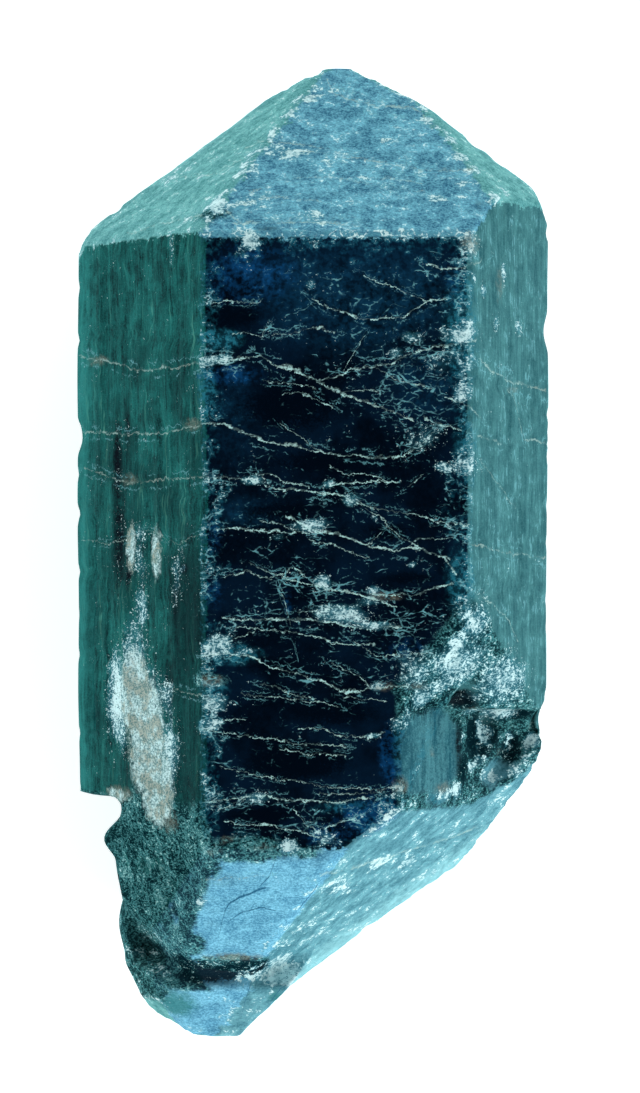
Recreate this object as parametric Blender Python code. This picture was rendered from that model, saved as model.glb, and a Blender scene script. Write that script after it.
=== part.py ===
"""Apatite crystal: a six-sided prism with a whole pyramid at one end and a broken one at the other.

The crystal lies on its back prism face. +Y runs along its c axis towards the whole
pyramid, +Z points up out of the front prism face, and +X is to the right of a viewer who
looks down on it with +Y away from them. It is modelled about the crystal's centre in
millimetres, then set down on Z = 0 and scaled to metres.
"""
import math
from collections import namedtuple

import bmesh
import bpy
from mathutils import Vector, noise

MM = 0.001

# A crystal face: azimuth turns about the c axis from +Z towards +X, slope is the angle to
# the basal plane (90 on the prism, below 0 at the broken end), and distance is measured
# from the crystal's centre. Degrees and millimetres.
Face = namedtuple("Face", "azimuth slope distance")

# A round lump on the surface, or a pit where its height is below 0.
Spot = namedtuple("Spot", "centre radius height")

# A groove along a straight line, or a ridge where its depth is below 0.
Groove = namedtuple("Groove", "start end width depth")

# A crack through the whole crystal, nearly square to the c axis: its height on that axis,
# how far it climbs for each millimetre of X and of Z, and its depth at the surface.
Parting = namedtuple("Parting", "y climb_x climb_z depth")

# An uneven surface: its height, and the size of its lumps across the c axis and along it.
Unevenness = namedtuple("Unevenness", "height across along")

# ---- the crystal's faces ----
PYRAMID_SLOPE = 40.3        # apatite's first-order pyramid against the basal plane
BACK_DISTANCE = 12.7        # centre to the face that the crystal lies on
PRISM_FACES = {
    "front": Face(0, 90, 12.72),
    "right": Face(60, 90, 15.28),
    "right_back": Face(120, 90, 12.31),
    "back": Face(180, 90, BACK_DISTANCE),
    "left_back": Face(-120, 90, 15.6),
    "left": Face(-60, 90, 12.7),
}
WHOLE_PYRAMID = {
    "front": Face(0, PYRAMID_SLOPE, 24.25),
    "right": Face(60, PYRAMID_SLOPE, 27.9),
    "right_back": Face(112, PYRAMID_SLOPE, 27.5),
    "back": Face(180, PYRAMID_SLOPE, 26.8),
    "left_back": Face(-120, PYRAMID_SLOPE, 27.2),
    "left": Face(-60, PYRAMID_SLOPE, 24.55),
    "worn_right_corner": Face(90, 71.6, 22.0),
    "worn_left_corner": Face(-90, 67, 23.05),
}
BROKEN_PYRAMID = {
    "front": Face(0, -PYRAMID_SLOPE, 23.48),
    "right": Face(60, -PYRAMID_SLOPE, 20.1),
    "right_back": Face(120, -PYRAMID_SLOPE, 24.3),
    "back": Face(180, -PYRAMID_SLOPE, 27.5),
    "left_back": Face(-120, -PYRAMID_SLOPE, 31.8),
    "left": Face(-60, -PYRAMID_SLOPE, 29.2),
    "worn_left_corner": Face(-90, -63.4, 24.4),
    "tip": Face(0, -3, 33.3),
}

# The stump of a smaller crystal that stands out of the broken end.
KNOB = {
    "front": Face(0, -PYRAMID_SLOPE, 23.6),
    "right": Face(90, -48.5, 18.35),
    "back": Face(180, -55, 24.0),
    "left": Face(-60, -PYRAMID_SLOPE, 28.6),
    "inner_side": Face(-90, 90, 9.0),
    "top": Face(0, 25, -26.0),
    "tip": Face(0, -3, 33.3),
}

# ---- what has broken off: each break takes away what is outside all of its faces ----
NOTCH_WALL = Face(60, 90, 11.34)
CLEFT_FLOOR = Face(0, 25, -26.2)
BREAKS = {
    "left_ledge": (Face(-90, -4, 17.65), Face(-90, 90, 13.1)),
    "left_fracture": (Face(-60, -20, 19.2), Face(-59.6, -74.4, 16.97)),
    "notch_slope": (NOTCH_WALL, Face(37.9, -64.5, 16.11)),
    "notch_hollow": (NOTCH_WALL, Face(0, -6, 11.06), Face(18, -84, 8.74)),
    "cleft_left": (CLEFT_FLOOR, Face(-70.5, -50.7, 24.55), Face(45, 90, -10.2)),
    "cleft_front": (CLEFT_FLOOR, Face(-7.5, -29.2, 26.25)),
    "back_slab": (Face(122, 88, 11.4), Face(180, 12, 3.0), Face(180, -9, 8.0)),
    "back_corner": (Face(-150, -62, 21.6), Face(-140, 80, 12.2)),
}

# ---- lumps, pits, grooves and cracks ----
SPOTS = {
    "ledge_lump": Spot((-13.4, -19.5, -1.0), 1.6, 0.9),
    "ledge_shoulder": Spot((-13.0, -20.5, -1.6), 4.0, 0.55),
    "left_side_lump": Spot((-12.8, -25.5, -3.6), 2.4, 0.4),
    "notch_cavity": Spot((9.8, -9.6, 8.4), 1.9, -1.3),
    "hollow_lump": Spot((14.7, -12.8, 3.0), 1.2, 0.7),
    "hollow_pit": Spot((11.6, -11.6, 4.2), 1.3, -0.5),
    "fracture_pit": Spot((-10.0, -24.0, 5.5), 1.8, -0.5),
    "fracture_edge_chip": Spot((-6.0, -21.0, 11.0), 1.5, -0.4),
    "fracture_lump": Spot((-9.5, -20.2, 7.5), 1.6, 0.4),
    "left_edge_chip": Spot((-16.0, 8.0, -2.8), 1.4, -0.35),
    "right_edge_chip": Spot((15.9, 15.0, 2.6), 1.6, -0.3),
    "back_pyramid_chip": Spot((-5.5, 22.6, -12.0), 2.4, -0.7),
    "right_back_pit": Spot((9.0, 6.0, -8.0), 2.2, -0.5),
    "left_back_pit": Spot((-13.0, -2.0, -8.0), 2.6, -0.45),
}
GROOVES = {
    "hollow_groove": Groove((16.2, -11.0, 3.2), (12.0, -15.0, 3.4), 0.75, 1.0),
    "fracture_groove": Groove((-14.0, -17.6, 0.0), (-11.8, -26.8, 3.0), 0.7, 0.35),
    "calcite_ridge": Groove((-12.4, -3.0, 3.4), (-11.6, -15.6, 4.6), 1.1, -0.3),
    "left_groove": Groove((-15.4, 2.0, -1.0), (-15.6, -12.0, -1.2), 0.5, 0.3),
}
PARTINGS = (
    Parting(12.4, -0.16, 0.05, 0.2),
    Parting(8.2, -0.03, 0.0, 0.13),
    Parting(4.4, -0.06, -0.06, 0.18),
    Parting(1.2, -0.07, 0.04, 0.12),
    Parting(-1.9, -0.05, -0.03, 0.16),
    Parting(-4.6, -0.04, 0.05, 0.1),
    Parting(-8.0, -0.07, 0.0, 0.14),
    Parting(-12.9, -0.01, 0.06, 0.12),
    Parting(-16.6, 0.0, 0.02, 0.18),
)
PARTING_WIDTH = 0.34
PARTING_WANDER = Unevenness(0.9, 8.0, 1.0)      # up and down on its way across
PARTING_GAPS = Unevenness(0.8, 3.3, 0.5)        # deeper here and shallower there

# ---- rough ground: each spot's height is how strongly it is broken, from 0 to 1 ----
BROKEN_GROUND = {
    "left_fracture": Spot((-10.5, -22.5, 5.5), 7.5, 1.0),
    "cleft": Spot((-10.0, -29.0, 0.5), 4.0, 0.6),
    "notch_slope": Spot((9.5, -8.0, 9.0), 4.2, 0.7),
    "notch_hollow": Spot((14.0, -13.0, 3.2), 4.6, 1.0),
    "right_back": Spot((9.0, -22.0, -8.0), 6.0, 0.5),
    "left_back": Spot((-12.0, -24.0, -9.0), 6.0, 0.7),
    "back_slab": Spot((12.0, -3.0, -6.0), 5.0, 0.5),
}
SWELL = Unevenness(0.16, 9.0, 9.0)
COARSE_STRIAE = Unevenness(0.13, 1.25, 10.0)
FINE_STRIAE = Unevenness(0.065, 0.53, 6.3)
PYRAMID_PITTING = Unevenness(0.07, 1.1, 1.1)
BREAK_LUMPS = Unevenness(0.42, 1.8, 1.8)
BREAK_GRAINS = Unevenness(0.25, 0.77, 0.77)
STRIAE_ON_FRONT = 0.25      # share of the striation that the front face has
RELIEF_ON_BACK = 0.35       # share of all relief that the face it lies on has
PRISM_LIMIT = 0.45          # |normal.y| above which a point is on a pyramid
PRISM_BLEND = 0.3
FACING_POWER = 8            # how fast "faces up" or "faces down" fades with tilt

# ---- the mesh ----
VOXEL = 0.36                # grid of the working surface
EDGE_WEAR_STEPS = 3         # smoothing steps that round the edges
REST_WEAR = 0.2             # worn off the back face, so that it is flat
TRIANGLES = 9300            # aimed at
STOCK_SIZE = 120.0          # cube that every solid is cut from
WELD = 1e-5

BODY_COLOUR = (0.018, 0.062, 0.075, 1.0)
BODY_ROUGHNESS = 0.38


def clear_scene():
    for obj in list(bpy.data.objects):
        bpy.data.objects.remove(obj, do_unlink=True)


def outward(face):
    """The unit normal of a crystal face."""
    azimuth = math.radians(face.azimuth)
    slope = math.radians(abs(face.slope))
    reach = math.sin(slope)
    rise = math.copysign(math.cos(slope), face.slope)
    return Vector((math.sin(azimuth) * reach, rise, math.cos(azimuth) * reach))


def link_mesh(name, mesh):
    data = bpy.data.meshes.new(name)
    mesh.to_mesh(data)
    mesh.free()
    obj = bpy.data.objects.new(name, data)
    bpy.context.scene.collection.objects.link(obj)
    return obj


def cut_plane(mesh, point, normal, clear_outer):
    """Cut the mesh at a plane, clear one side of it and return the edges of the opening."""
    cut = bmesh.ops.bisect_plane(
        mesh, geom=mesh.verts[:] + mesh.edges[:] + mesh.faces[:], dist=WELD,
        plane_co=point, plane_no=normal, clear_outer=clear_outer, clear_inner=not clear_outer)
    return [item for item in cut["geom_cut"] if isinstance(item, bmesh.types.BMEdge)]


def convex_solid(name, faces, keep_inside):
    """A large cube cut by each face in turn, keeping what is inside, or outside, them all."""
    mesh = bmesh.new()
    bmesh.ops.create_cube(mesh, size=STOCK_SIZE)
    for face in faces:
        normal = outward(face)
        rim = cut_plane(mesh, normal * face.distance, normal, clear_outer=keep_inside)
        bmesh.ops.contextual_create(mesh, geom=rim)
    bmesh.ops.recalc_face_normals(mesh, faces=mesh.faces[:])
    return link_mesh(name, mesh)


def combine(target, tool, operation):
    """Join the tool to the target, or cut it out, and keep the tool as a hidden guide."""
    tool.hide_render = True
    tool.display_type = "WIRE"
    boolean = target.modifiers.new(tool.name, "BOOLEAN")
    boolean.operation = operation
    boolean.solver = "EXACT"
    boolean.object = tool


def rough_crystal():
    """The crystal with plane faces, broken as it is, on an even grid with worn edges."""
    faces = [*PRISM_FACES.values(), *WHOLE_PYRAMID.values(), *BROKEN_PYRAMID.values()]
    block = convex_solid("block", faces, keep_inside=True)
    for name, break_faces in BREAKS.items():
        combine(block, convex_solid(name, break_faces, keep_inside=False), "DIFFERENCE")
    combine(block, convex_solid("knob", KNOB.values(), keep_inside=True), "UNION")
    grid = block.modifiers.new("grid", "REMESH")
    grid.mode = "VOXEL"
    grid.voxel_size = VOXEL
    wear = block.modifiers.new("edge_wear", "SMOOTH")
    wear.factor = 0.5
    wear.iterations = EDGE_WEAR_STEPS
    return block


def evaluated(obj):
    """A mesh of the object as its modifiers leave it."""
    mesh = bmesh.new()
    mesh.from_object(obj, bpy.context.evaluated_depsgraph_get())
    return mesh


def uneven(point, kind):
    """The height of one kind of unevenness at a point."""
    place = Vector((point.x / kind.across, point.y / kind.along, point.z / kind.across))
    return kind.height * noise.noise(place)


def spots_height(point, spots):
    """All the spots' heights at a point, each falling smoothly to 0 at its rim."""
    height = 0.0
    for spot in spots.values():
        share = (point - Vector(spot.centre)).length / spot.radius
        if share < 1.0:
            height += spot.height * (1.0 - share * share) ** 2
    return height


def groove_depth(point, groove):
    start, end = Vector(groove.start), Vector(groove.end)
    along = end - start
    share = (point - start).dot(along) / along.length_squared
    nearest = start + along * min(max(share, 0.0), 1.0)
    return groove.depth * math.exp(-((point - nearest).length / groove.width) ** 2)


def parting_depth(point, parting):
    """A crack's depth at a point: it wanders over the surface and thins out in places."""
    across = Vector((point.x, parting.y, point.z))
    level = parting.y + parting.climb_x * point.x + parting.climb_z * point.z
    level += uneven(across, PARTING_WANDER)
    strength = max(0.6 + uneven(across, PARTING_GAPS), 0.0)
    return parting.depth * strength * math.exp(-((point.y - level) / PARTING_WIDTH) ** 2)


def relief(point, normal):
    """How far the surface stands out at a point."""
    on_prism = min(max((PRISM_LIMIT - abs(normal.y)) / PRISM_BLEND, 0.0), 1.0)
    faces_up = max(normal.z, 0.0) ** FACING_POWER
    faces_down = max(-normal.z, 0.0) ** FACING_POWER
    striated = on_prism * (1.0 - (1.0 - STRIAE_ON_FRONT) * faces_up)
    broken = min(spots_height(point, BROKEN_GROUND), 1.0)
    height = uneven(point, SWELL)
    height += striated * (uneven(point, COARSE_STRIAE) + uneven(point, FINE_STRIAE))
    height += (1.0 - on_prism) * uneven(point, PYRAMID_PITTING)
    height += broken * (uneven(point, BREAK_LUMPS) + uneven(point, BREAK_GRAINS))
    height += spots_height(point, SPOTS)
    height -= sum(groove_depth(point, groove) for groove in GROOVES.values())
    height -= sum(parting_depth(point, parting) for parting in PARTINGS)
    return height * (1.0 - (1.0 - RELIEF_ON_BACK) * faces_down)


def carve_relief(mesh):
    mesh.normal_update()
    heights = [relief(vert.co, vert.normal) for vert in mesh.verts]
    for vert, height in zip(mesh.verts, heights):
        vert.co += vert.normal * height


def lighten(mesh):
    """The same surface with about TRIANGLES triangles, more of them where it bends most."""
    bmesh.ops.triangulate(mesh, faces=mesh.faces[:])
    share = TRIANGLES / len(mesh.faces)
    dense = link_mesh("dense", mesh)
    collapse = dense.modifiers.new("collapse", "DECIMATE")
    collapse.ratio = share
    light = evaluated(dense)
    clear_scene()
    return light


def set_down(mesh):
    """Wear the back face flat, and centre the crystal over the origin in metres."""
    rim = cut_plane(mesh, (0.0, 0.0, REST_WEAR - BACK_DISTANCE), (0.0, 0.0, -1.0), clear_outer=True)
    bmesh.ops.triangle_fill(mesh, edges=rim, use_beauty=True)
    bmesh.ops.recalc_face_normals(mesh, faces=mesh.faces[:])
    places = [vert.co for vert in mesh.verts]
    low = Vector([min(place[axis] for place in places) for axis in range(3)])
    high = Vector([max(place[axis] for place in places) for axis in range(3)])
    base_centre = Vector(((low.x + high.x) / 2, (low.y + high.y) / 2, low.z))
    for vert in mesh.verts:
        vert.co = (vert.co - base_centre) * MM


def apatite():
    material = bpy.data.materials.new("apatite")
    material.use_nodes = True
    shader = material.node_tree.nodes["Principled BSDF"]
    shader.inputs["Base Color"].default_value = BODY_COLOUR
    shader.inputs["Roughness"].default_value = BODY_ROUGHNESS
    shader.inputs["Metallic"].default_value = 0.0
    return material


def make_crystal():
    mesh = evaluated(rough_crystal())
    clear_scene()
    carve_relief(mesh)
    mesh = lighten(mesh)
    set_down(mesh)
    crystal = link_mesh("crystal", mesh)
    crystal.data.materials.append(apatite())


clear_scene()
make_crystal()
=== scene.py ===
"""The looks of an apatite crystal, a dark blue-green prism, cracked and broken at one end.

Every place on the crystal is in millimetres from its centre. +Y runs along the c axis
towards the whole pyramid, +Z points out of the front prism face, and +X is to the right of
a viewer who looks down on it with +Y away from them.
"""

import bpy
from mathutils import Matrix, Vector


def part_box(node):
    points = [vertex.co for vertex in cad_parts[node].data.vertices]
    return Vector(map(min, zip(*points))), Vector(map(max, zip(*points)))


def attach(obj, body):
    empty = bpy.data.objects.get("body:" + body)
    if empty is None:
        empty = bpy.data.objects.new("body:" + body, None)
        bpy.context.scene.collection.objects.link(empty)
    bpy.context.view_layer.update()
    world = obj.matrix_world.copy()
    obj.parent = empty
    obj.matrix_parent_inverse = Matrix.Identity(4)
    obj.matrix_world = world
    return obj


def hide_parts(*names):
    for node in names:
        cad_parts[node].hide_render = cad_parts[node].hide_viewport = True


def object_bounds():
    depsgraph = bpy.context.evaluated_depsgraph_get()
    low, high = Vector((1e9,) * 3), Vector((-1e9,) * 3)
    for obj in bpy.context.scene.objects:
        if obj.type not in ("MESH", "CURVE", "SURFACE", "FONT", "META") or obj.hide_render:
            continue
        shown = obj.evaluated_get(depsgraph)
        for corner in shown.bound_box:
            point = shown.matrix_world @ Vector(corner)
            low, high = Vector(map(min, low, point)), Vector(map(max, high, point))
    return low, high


bl_info = {
    "name": "Apatite Crystal",
    "version": (1, 0, 0),
    "blender": (4, 5, 0),
    "location": "View3D > Sidebar > Apatite",
    "description": "Dresses a broken apatite prism and sets it on a white floor",
    "category": "Add Mesh",
}

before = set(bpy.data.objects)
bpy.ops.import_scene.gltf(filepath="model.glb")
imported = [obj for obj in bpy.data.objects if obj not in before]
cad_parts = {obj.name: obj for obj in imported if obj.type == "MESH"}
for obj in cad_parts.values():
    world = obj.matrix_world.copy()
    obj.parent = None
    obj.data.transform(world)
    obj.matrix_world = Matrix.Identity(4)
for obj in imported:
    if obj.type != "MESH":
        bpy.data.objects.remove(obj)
CAD_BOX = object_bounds()

import math
import random
from collections import namedtuple

import bmesh
import bpy
import numpy as np
from bpy.props import FloatProperty, FloatVectorProperty, IntProperty, PointerProperty
from bpy.types import Operator, Panel, PropertyGroup
from mathutils import Matrix, Vector, noise

MM = 0.001
NODE = "crystal"

# A crystal face: azimuth turns about the c axis from +Z towards +X, slope is the angle to
# the basal plane (90 on the prism, below 0 at the broken end), and distance is measured
# from the crystal's centre. Degrees and millimetres.
Face = namedtuple("Face", "azimuth slope distance")

# A round lump on the surface, or a pit where its height is below 0.
Spot = namedtuple("Spot", "centre radius height")

# A groove along a straight line, or a ridge where its depth is below 0.
Groove = namedtuple("Groove", "start end width depth")

# A crack through the whole crystal, nearly square to the c axis: its height on that axis,
# how far it climbs for each millimetre of X and of Z, and its depth at the surface.
Parting = namedtuple("Parting", "y climb_x climb_z depth")

# An uneven surface: its height, and the size of its lumps across the c axis and along it.
Unevenness = namedtuple("Unevenness", "height across along")

# A line on the surface, from left to right: its (x, y) points and half its width.
Line = namedtuple("Line", "points width")

# A part of the surface that differs, strongest at its centre and gone at its radii.
Patch = namedtuple("Patch", "centre radii strength")

# A stain: its patches, the strengths between which it comes in, and how ragged its border is.
Stain = namedtuple("Stain", "patches low high ragged")

# A noise: its lumps in a millimetre, the finer lumps on them and how strong those are, and
# how it is squeezed across the c axis and along it.
Noise = namedtuple("Noise", "scale detail roughness across along", defaults=(1.0, 1.0))

# The cells that a web of cracks lies between: how many in a millimetre, how they are
# squeezed across the c axis, and half the width of a crack between them.
Cells = namedtuple("Cells", "scale across thickness")

# ---- the crystal's faces ----
PYRAMID_SLOPE = 40.3        # apatite's first-order pyramid against the basal plane
BACK_DISTANCE = 12.7        # centre to the face that the crystal lies on
PRISM_FACES = {
    "front": Face(0, 90, 12.72),
    "right": Face(60, 90, 15.28),
    "right_back": Face(120, 90, 12.31),
    "back": Face(180, 90, BACK_DISTANCE),
    "left_back": Face(-120, 90, 15.6),
    "left": Face(-60, 90, 12.7),
}
WHOLE_PYRAMID = {
    "front": Face(0, PYRAMID_SLOPE, 24.25),
    "right": Face(60, PYRAMID_SLOPE, 27.9),
    "right_back": Face(112, PYRAMID_SLOPE, 27.5),
    "back": Face(180, PYRAMID_SLOPE, 26.8),
    "left_back": Face(-120, PYRAMID_SLOPE, 27.2),
    "left": Face(-60, PYRAMID_SLOPE, 24.55),
    "worn_right_corner": Face(90, 71.6, 22.0),
    "worn_left_corner": Face(-90, 67, 23.05),
}
BROKEN_PYRAMID = {
    "front": Face(0, -PYRAMID_SLOPE, 23.48),
    "right": Face(60, -PYRAMID_SLOPE, 20.1),
    "right_back": Face(120, -PYRAMID_SLOPE, 24.3),
    "back": Face(180, -PYRAMID_SLOPE, 27.5),
    "left_back": Face(-120, -PYRAMID_SLOPE, 31.8),
    "left": Face(-60, -PYRAMID_SLOPE, 29.2),
    "worn_left_corner": Face(-90, -63.4, 24.4),
    "tip": Face(0, -3, 33.3),
}

FACE_GROUPS = {"prism": PRISM_FACES, "whole": WHOLE_PYRAMID, "broken": BROKEN_PYRAMID}
CRYSTAL_FACES = [face for group in FACE_GROUPS.values() for face in group.values()]

# The stump of a smaller crystal that stands out of the broken end.
KNOB = {
    "front": Face(0, -PYRAMID_SLOPE, 23.6),
    "right": Face(90, -48.5, 18.35),
    "back": Face(180, -55, 24.0),
    "left": Face(-60, -PYRAMID_SLOPE, 28.6),
    "inner_side": Face(-90, 90, 9.0),
    "top": Face(0, 25, -26.0),
    "tip": Face(0, -3, 33.3),
}

# ---- what has broken off: each break takes away what is outside all of its faces ----
NOTCH_WALL = Face(60, 90, 11.34)
CLEFT_FLOOR = Face(0, 25, -26.2)
BREAKS = {
    "left_ledge": (Face(-90, -4, 17.65), Face(-90, 90, 13.1)),
    "left_fracture": (Face(-60, -20, 19.2), Face(-59.6, -74.4, 16.97)),
    "notch_slope": (NOTCH_WALL, Face(37.9, -64.5, 16.11)),
    "notch_hollow": (NOTCH_WALL, Face(0, -6, 11.06), Face(18, -84, 8.74)),
    "cleft_left": (CLEFT_FLOOR, Face(-70.5, -50.7, 24.55), Face(45, 90, -10.2)),
    "cleft_front": (CLEFT_FLOOR, Face(-7.5, -29.2, 26.25)),
    "back_slab": (Face(122, 88, 11.4), Face(180, 12, 3.0), Face(180, -9, 8.0)),
    "back_corner": (Face(-150, -62, 21.6), Face(-140, 80, 12.2)),
}

# the breaks with rubble on them
ROUGH_BREAKS = (
    "left_ledge", "left_fracture", "notch_slope", "notch_hollow", "cleft_left", "back_slab",
    "back_corner")

# ---- lumps, pits, grooves and cracks ----
SPOTS = {
    "ledge_lump": Spot((-13.4, -19.5, -1.0), 1.6, 0.9),
    "ledge_shoulder": Spot((-13.0, -20.5, -1.6), 4.0, 0.55),
    "left_side_lump": Spot((-12.8, -25.5, -3.6), 2.4, 0.4),
    "notch_cavity": Spot((9.8, -9.6, 8.4), 1.9, -1.3),
    "hollow_lump": Spot((14.7, -12.8, 3.0), 1.2, 0.7),
    "hollow_pit": Spot((11.6, -11.6, 4.2), 1.3, -0.5),
    "fracture_pit": Spot((-10.0, -24.0, 5.5), 1.8, -0.5),
    "fracture_edge_chip": Spot((-6.0, -21.0, 11.0), 1.5, -0.4),
    "fracture_lump": Spot((-9.5, -20.2, 7.5), 1.6, 0.4),
    "left_edge_chip": Spot((-16.0, 8.0, -2.8), 1.4, -0.35),
    "right_edge_chip": Spot((15.9, 15.0, 2.6), 1.6, -0.3),
    "back_pyramid_chip": Spot((-5.5, 22.6, -12.0), 2.4, -0.7),
    "right_back_pit": Spot((9.0, 6.0, -8.0), 2.2, -0.5),
    "left_back_pit": Spot((-13.0, -2.0, -8.0), 2.6, -0.45),
}
GROOVES = {
    "hollow_groove": Groove((16.2, -11.0, 3.2), (12.0, -15.0, 3.4), 0.75, 1.0),
    "fracture_groove": Groove((-14.0, -17.6, 0.0), (-11.8, -26.8, 3.0), 0.7, 0.35),
    "calcite_ridge": Groove((-12.4, -3.0, 3.4), (-11.6, -15.6, 4.6), 1.1, -0.3),
    "left_groove": Groove((-15.4, 2.0, -1.0), (-15.6, -12.0, -1.2), 0.5, 0.3),
}
PARTINGS = (
    Parting(12.4, -0.16, 0.05, 0.2),
    Parting(8.2, -0.03, 0.0, 0.13),
    Parting(4.4, -0.06, -0.06, 0.18),
    Parting(1.2, -0.07, 0.04, 0.12),
    Parting(-1.9, -0.05, -0.03, 0.16),
    Parting(-4.6, -0.04, 0.05, 0.1),
    Parting(-8.0, -0.07, 0.0, 0.14),
    Parting(-12.9, -0.01, 0.06, 0.12),
    Parting(-16.6, 0.0, 0.02, 0.18),
)
PARTING_WIDTH = 0.34
PARTING_REACH = 2.0                             # no depth is left this far from its level
PARTING_WANDER = Unevenness(0.9, 8.0, 1.0)      # up and down on its way across
PARTING_GAPS = Unevenness(0.8, 3.3, 0.5)        # deeper here and shallower there
PARTING_STRENGTH = 0.6                          # share of its depth that it has on the whole

# ---- rough ground: each spot's height is how strongly it is broken, from 0 to 1 ----
BROKEN_GROUND = {
    "left_fracture": Spot((-10.5, -22.5, 5.5), 7.5, 1.0),
    "cleft": Spot((-10.0, -29.0, 0.5), 4.0, 0.6),
    "notch_slope": Spot((9.5, -8.0, 9.0), 4.2, 0.7),
    "notch_hollow": Spot((14.0, -13.0, 3.2), 4.6, 1.0),
    "right_back": Spot((9.0, -22.0, -8.0), 6.0, 0.5),
    "left_back": Spot((-12.0, -24.0, -9.0), 6.0, 0.7),
    "back_slab": Spot((12.0, -3.0, -6.0), 5.0, 0.5),
}

# ---- how uneven each kind of ground is ----
SWELL = Unevenness(0.16, 9.0, 9.0)
COARSE_STRIAE = Unevenness(0.13, 1.25, 10.0)
FINE_STRIAE = Unevenness(0.065, 0.53, 6.3)
PYRAMID_PITTING = Unevenness(0.07, 1.1, 1.1)
BREAK_LUMPS = Unevenness(0.42, 1.8, 1.8)
BREAK_GRAINS = Unevenness(0.25, 0.77, 0.77)
BREAK_GRIT = Unevenness(0.16, 0.36, 0.36)
STRIAE_ON_FRONT = 0.25      # share of the striation that the front face has
RELIEF_ON_BACK = 0.35       # share of all relief that the face it lies on has
PRISM_LIMIT = 0.45          # |normal.y| above which a point is on a pyramid
PRISM_BLEND = 0.3           # how far below that limit the striation is whole
FACING_POWER = 8            # how fast "faces up" or "faces down" fades with tilt
REST_WEAR = 0.2             # worn off the back face, so that it is flat
STOCK_SIZE = 120.0          # cube that every solid is cut from
WELD = 1e-5                 # points that are closer than this are one
EDGE_SOFTENING = 0.5        # how strong one smoothing step is

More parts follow.
